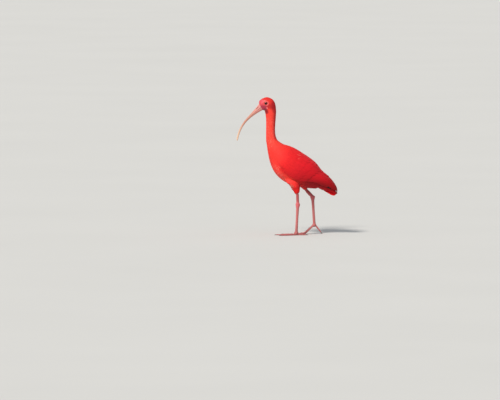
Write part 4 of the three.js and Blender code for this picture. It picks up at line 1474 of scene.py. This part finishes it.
def leg_material():
    """Scutes across the front of the legs and toes, small round scales behind."""
    shader = Shader("leg_skin")
    run, front = shader.split(shader.attribute("scute"))
    part = shader.math("FRACT", shader.math("MULTIPLY", run, 1 / 3.1))
    from_edge = shader.math("SUBTRACT", 0.5, shader.math("ABSOLUTE", shader.math("SUBTRACT", part, 0.5)))
    bands = shader.math("MULTIPLY", shader.math("SMOOTH_MIN", from_edge, 0.14, 0.08), 7.0)
    cells = shader.cells(520, feature="DISTANCE_TO_EDGE")
    pebbles = shader.math("MINIMUM", shader.math("MULTIPLY", cells, 5), 1)
    facing = shader.ranged(front, 0, 1, -0.1, 0.35)
    relief = shader.add("Mix", {"Factor": facing, "A": pebbles, "B": bands}, "Result")
    mottle = shader.noise(shader.place(), 240, 4, 0.6)
    colour = shader.shaded(shader.attribute("leg", "Color"), relief, 0.74, 1.06)
    return shader.finish({
        "Base Color": shader.shaded(colour, mottle, 0.85, 1.15),
        "Roughness": 0.5,
        "Specular IOR Level": 0.4,
        "Normal": shader.bump(relief, 0.7, 0.35),
    })


def claw_material():
    shader = Shader("claw_horn")
    streaks = shader.noise(shader.place(), 600, 4, 0.6)
    return shader.finish({
        "Base Color": shader.shaded(shader.tint(CLAW_HORN), streaks, 0.55, 1.3),
        "Roughness": 0.38,
        "Normal": shader.bump(streaks, 0.3, 0.15),
    })


def eye_material(which):
    """Black pupil in a dark brown iris with fine rays, under a wet surface."""
    shader = Shader(f"eye_{which}")
    centred = shader.vector("SUBTRACT", shader.place(), (EYE["x"] * MM, 0, EYE["z"] * MM))
    flat = shader.vector("MULTIPLY", centred, (1 / MM, 0, 1 / MM))
    away = shader.vector("LENGTH", flat, output="Value")
    rings = shader.add("ValToRGB", {0: shader.math("MULTIPLY", away, 1 / EYE["radius"])})
    elements = rings.node.color_ramp.elements
    while len(elements) < len(IRIS):
        elements.new(0.5)
    for element, (position, colour) in zip(elements, IRIS):
        element.position = position
        element.color = (*srgb(*colour), 1)
    rays = shader.noise(flat, 1.6, 5, 0.7)
    return shader.finish({
        "Base Color": shader.shaded(rings, rays, 0.7, 1.4),
        "Roughness": 0.06,
        "Specular IOR Level": 0.32,
    })


def floor_material():
    shader = Shader("floor")
    cloud = shader.noise(shader.place(), 1.2, 3, 0.5)
    return shader.finish({
        "Base Color": shader.shaded(shader.tint(FLOOR_GREY), cloud, 0.97, 1.03),
        "Roughness": 0.85,
    })


# Floor and light

FLOOR = {"half": 150_000, "z": -0.02}
SUN = {"towards": (-0.45, -0.72, 0.78), "energy": 3.4, "degrees": 12, "colour": (1.0, 0.96, 0.9)}
SKY = {"colour": (0.86, 0.92, 1.0, 1), "strength": 0.5}


def add_stage():
    half, z = FLOOR["half"], FLOOR["z"]
    corners = [(-half, -half, z), (half, -half, z), (half, half, z), (-half, half, z)]
    floor = link("floor", new_mesh("floor", corners, [[0, 1, 2, 3]]))
    floor.data.materials.append(floor_material())
    world = bpy.data.worlds.new("studio")
    world.use_nodes = True
    sky = world.node_tree.nodes["Background"].inputs
    sky["Color"].default_value = SKY["colour"]
    sky["Strength"].default_value = SKY["strength"]
    bpy.context.scene.world = world
    key = bpy.data.lights.new("key", "SUN")
    key.energy = SUN["energy"]
    key.angle = math.radians(SUN["degrees"])
    key.color = SUN["colour"]
    light = link("key", key)
    light.rotation_euler = Vector(SUN["towards"]).to_track_quat("Z", "Y").to_euler()
    bpy.context.scene.view_settings.view_transform = "Standard"


def finish_piece(obj, material):
    obj.data.materials.clear()
    obj.data.materials.append(material)
    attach(obj, "root")


COAT_RUNS = {
    "coat_head": (-1e9, 62),
    "coat_neck": (62, 190),
    "coat_breast": (190, 290),
    "coat_rear": (290, 1e9),
}


def split_coat(places):
    """Names of the coat's pieces, each with the numbers of its feathers."""
    wing = places.wing > 0.5
    thigh = (places.thigh > 0.5) & ~wing
    groups = {
        name: ~wing & ~thigh & (places.run >= low) & (places.run < high)
        for name, (low, high) in COAT_RUNS.items()
    }
    groups |= {"coat_shoulders": wing, "coat_thighs": thigh}
    return {name: np.flatnonzero(chosen) for name, chosen in groups.items()}


def flecks_and_highlights(points, places):
    """How pale each body feather's tip is: streaks on the breast, and a few on the neck and upper back, where
    the pale tips on the back's edge are partly paler feathers and partly painted highlight.
    """
    on_spots = np.max([spot(points, *place) for place in FLECK_AND_HIGHLIGHT_SPOTS], axis=0)
    on_neck = ramp(places.run, 70, 95) * (1 - ramp(places.run, 150, 190)) * (points[:, 0] < -46)
    chance = random.random(len(points))
    has_one = chance < PALE_TIPS["breast"] * on_spots + PALE_TIPS["neck"] * on_neck
    pale = np.where(has_one, mix(*PALE_TIPS["pale"], on_spots), 0)
    return pale * random.uniform(0.3, 1, len(points))


def build():
    add_camera()
    skin = make_skin()
    surface = Surface(skin)
    skin_points = corners_of(skin.data)
    store_colour(skin.data, "plumage", colours_and_shade(skin_points, Places(skin_points)))
    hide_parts(*FLESH)
    finish_piece(skin, skin_material())

    contour = feather_material("body_feathers", 0.62, 0.2, 0.9)
    flight = feather_material("flight_feathers", 0.5, 0.1, 1.1)
    points, normals, uv, places, sizes = grow_coat(surface)
    places.tone = random.random(len(points))
    places.fleck = flecks_and_highlights(points, places)
    for name, index in split_coat(places).items():
        part = {key: values[index] for key, values in sizes.items()}
        here = (points[index], normals[index], uv[index], Chosen(places, index))
        finish_piece(make_tufts(surface, name, *here, part), contour)
    finish_piece(make_fluff(surface), contour)

    for side, which in ((LEFT, "left"), (RIGHT, "right")):
        wing = make_wing(side, f"wing_feathers_{which}", surface)
        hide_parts(f"wing_{which}")
        finish_piece(wing, flight)
        eye = make_eye(side, f"eyeball_{which}")
        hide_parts(f"eye_{which}")
        finish_piece(eye, eye_material(which))
        leg = make_leg(which)
        finish_piece(leg, leg_material())
    finish_piece(make_mantle(surface), flight)
    tail = make_tail(surface)
    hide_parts("tail")
    finish_piece(tail, flight)
    horn = horn_material()
    for name, edge, upper in (("bill_upper_horn", CULMEN, True), ("bill_lower_horn", GONYS, False)):
        half = make_bill_half(name, edge, upper)
        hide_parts(name.replace("_horn", ""))
        finish_piece(half, horn)
    finish_piece(make_claws(), claw_material())
    add_stage()


build()
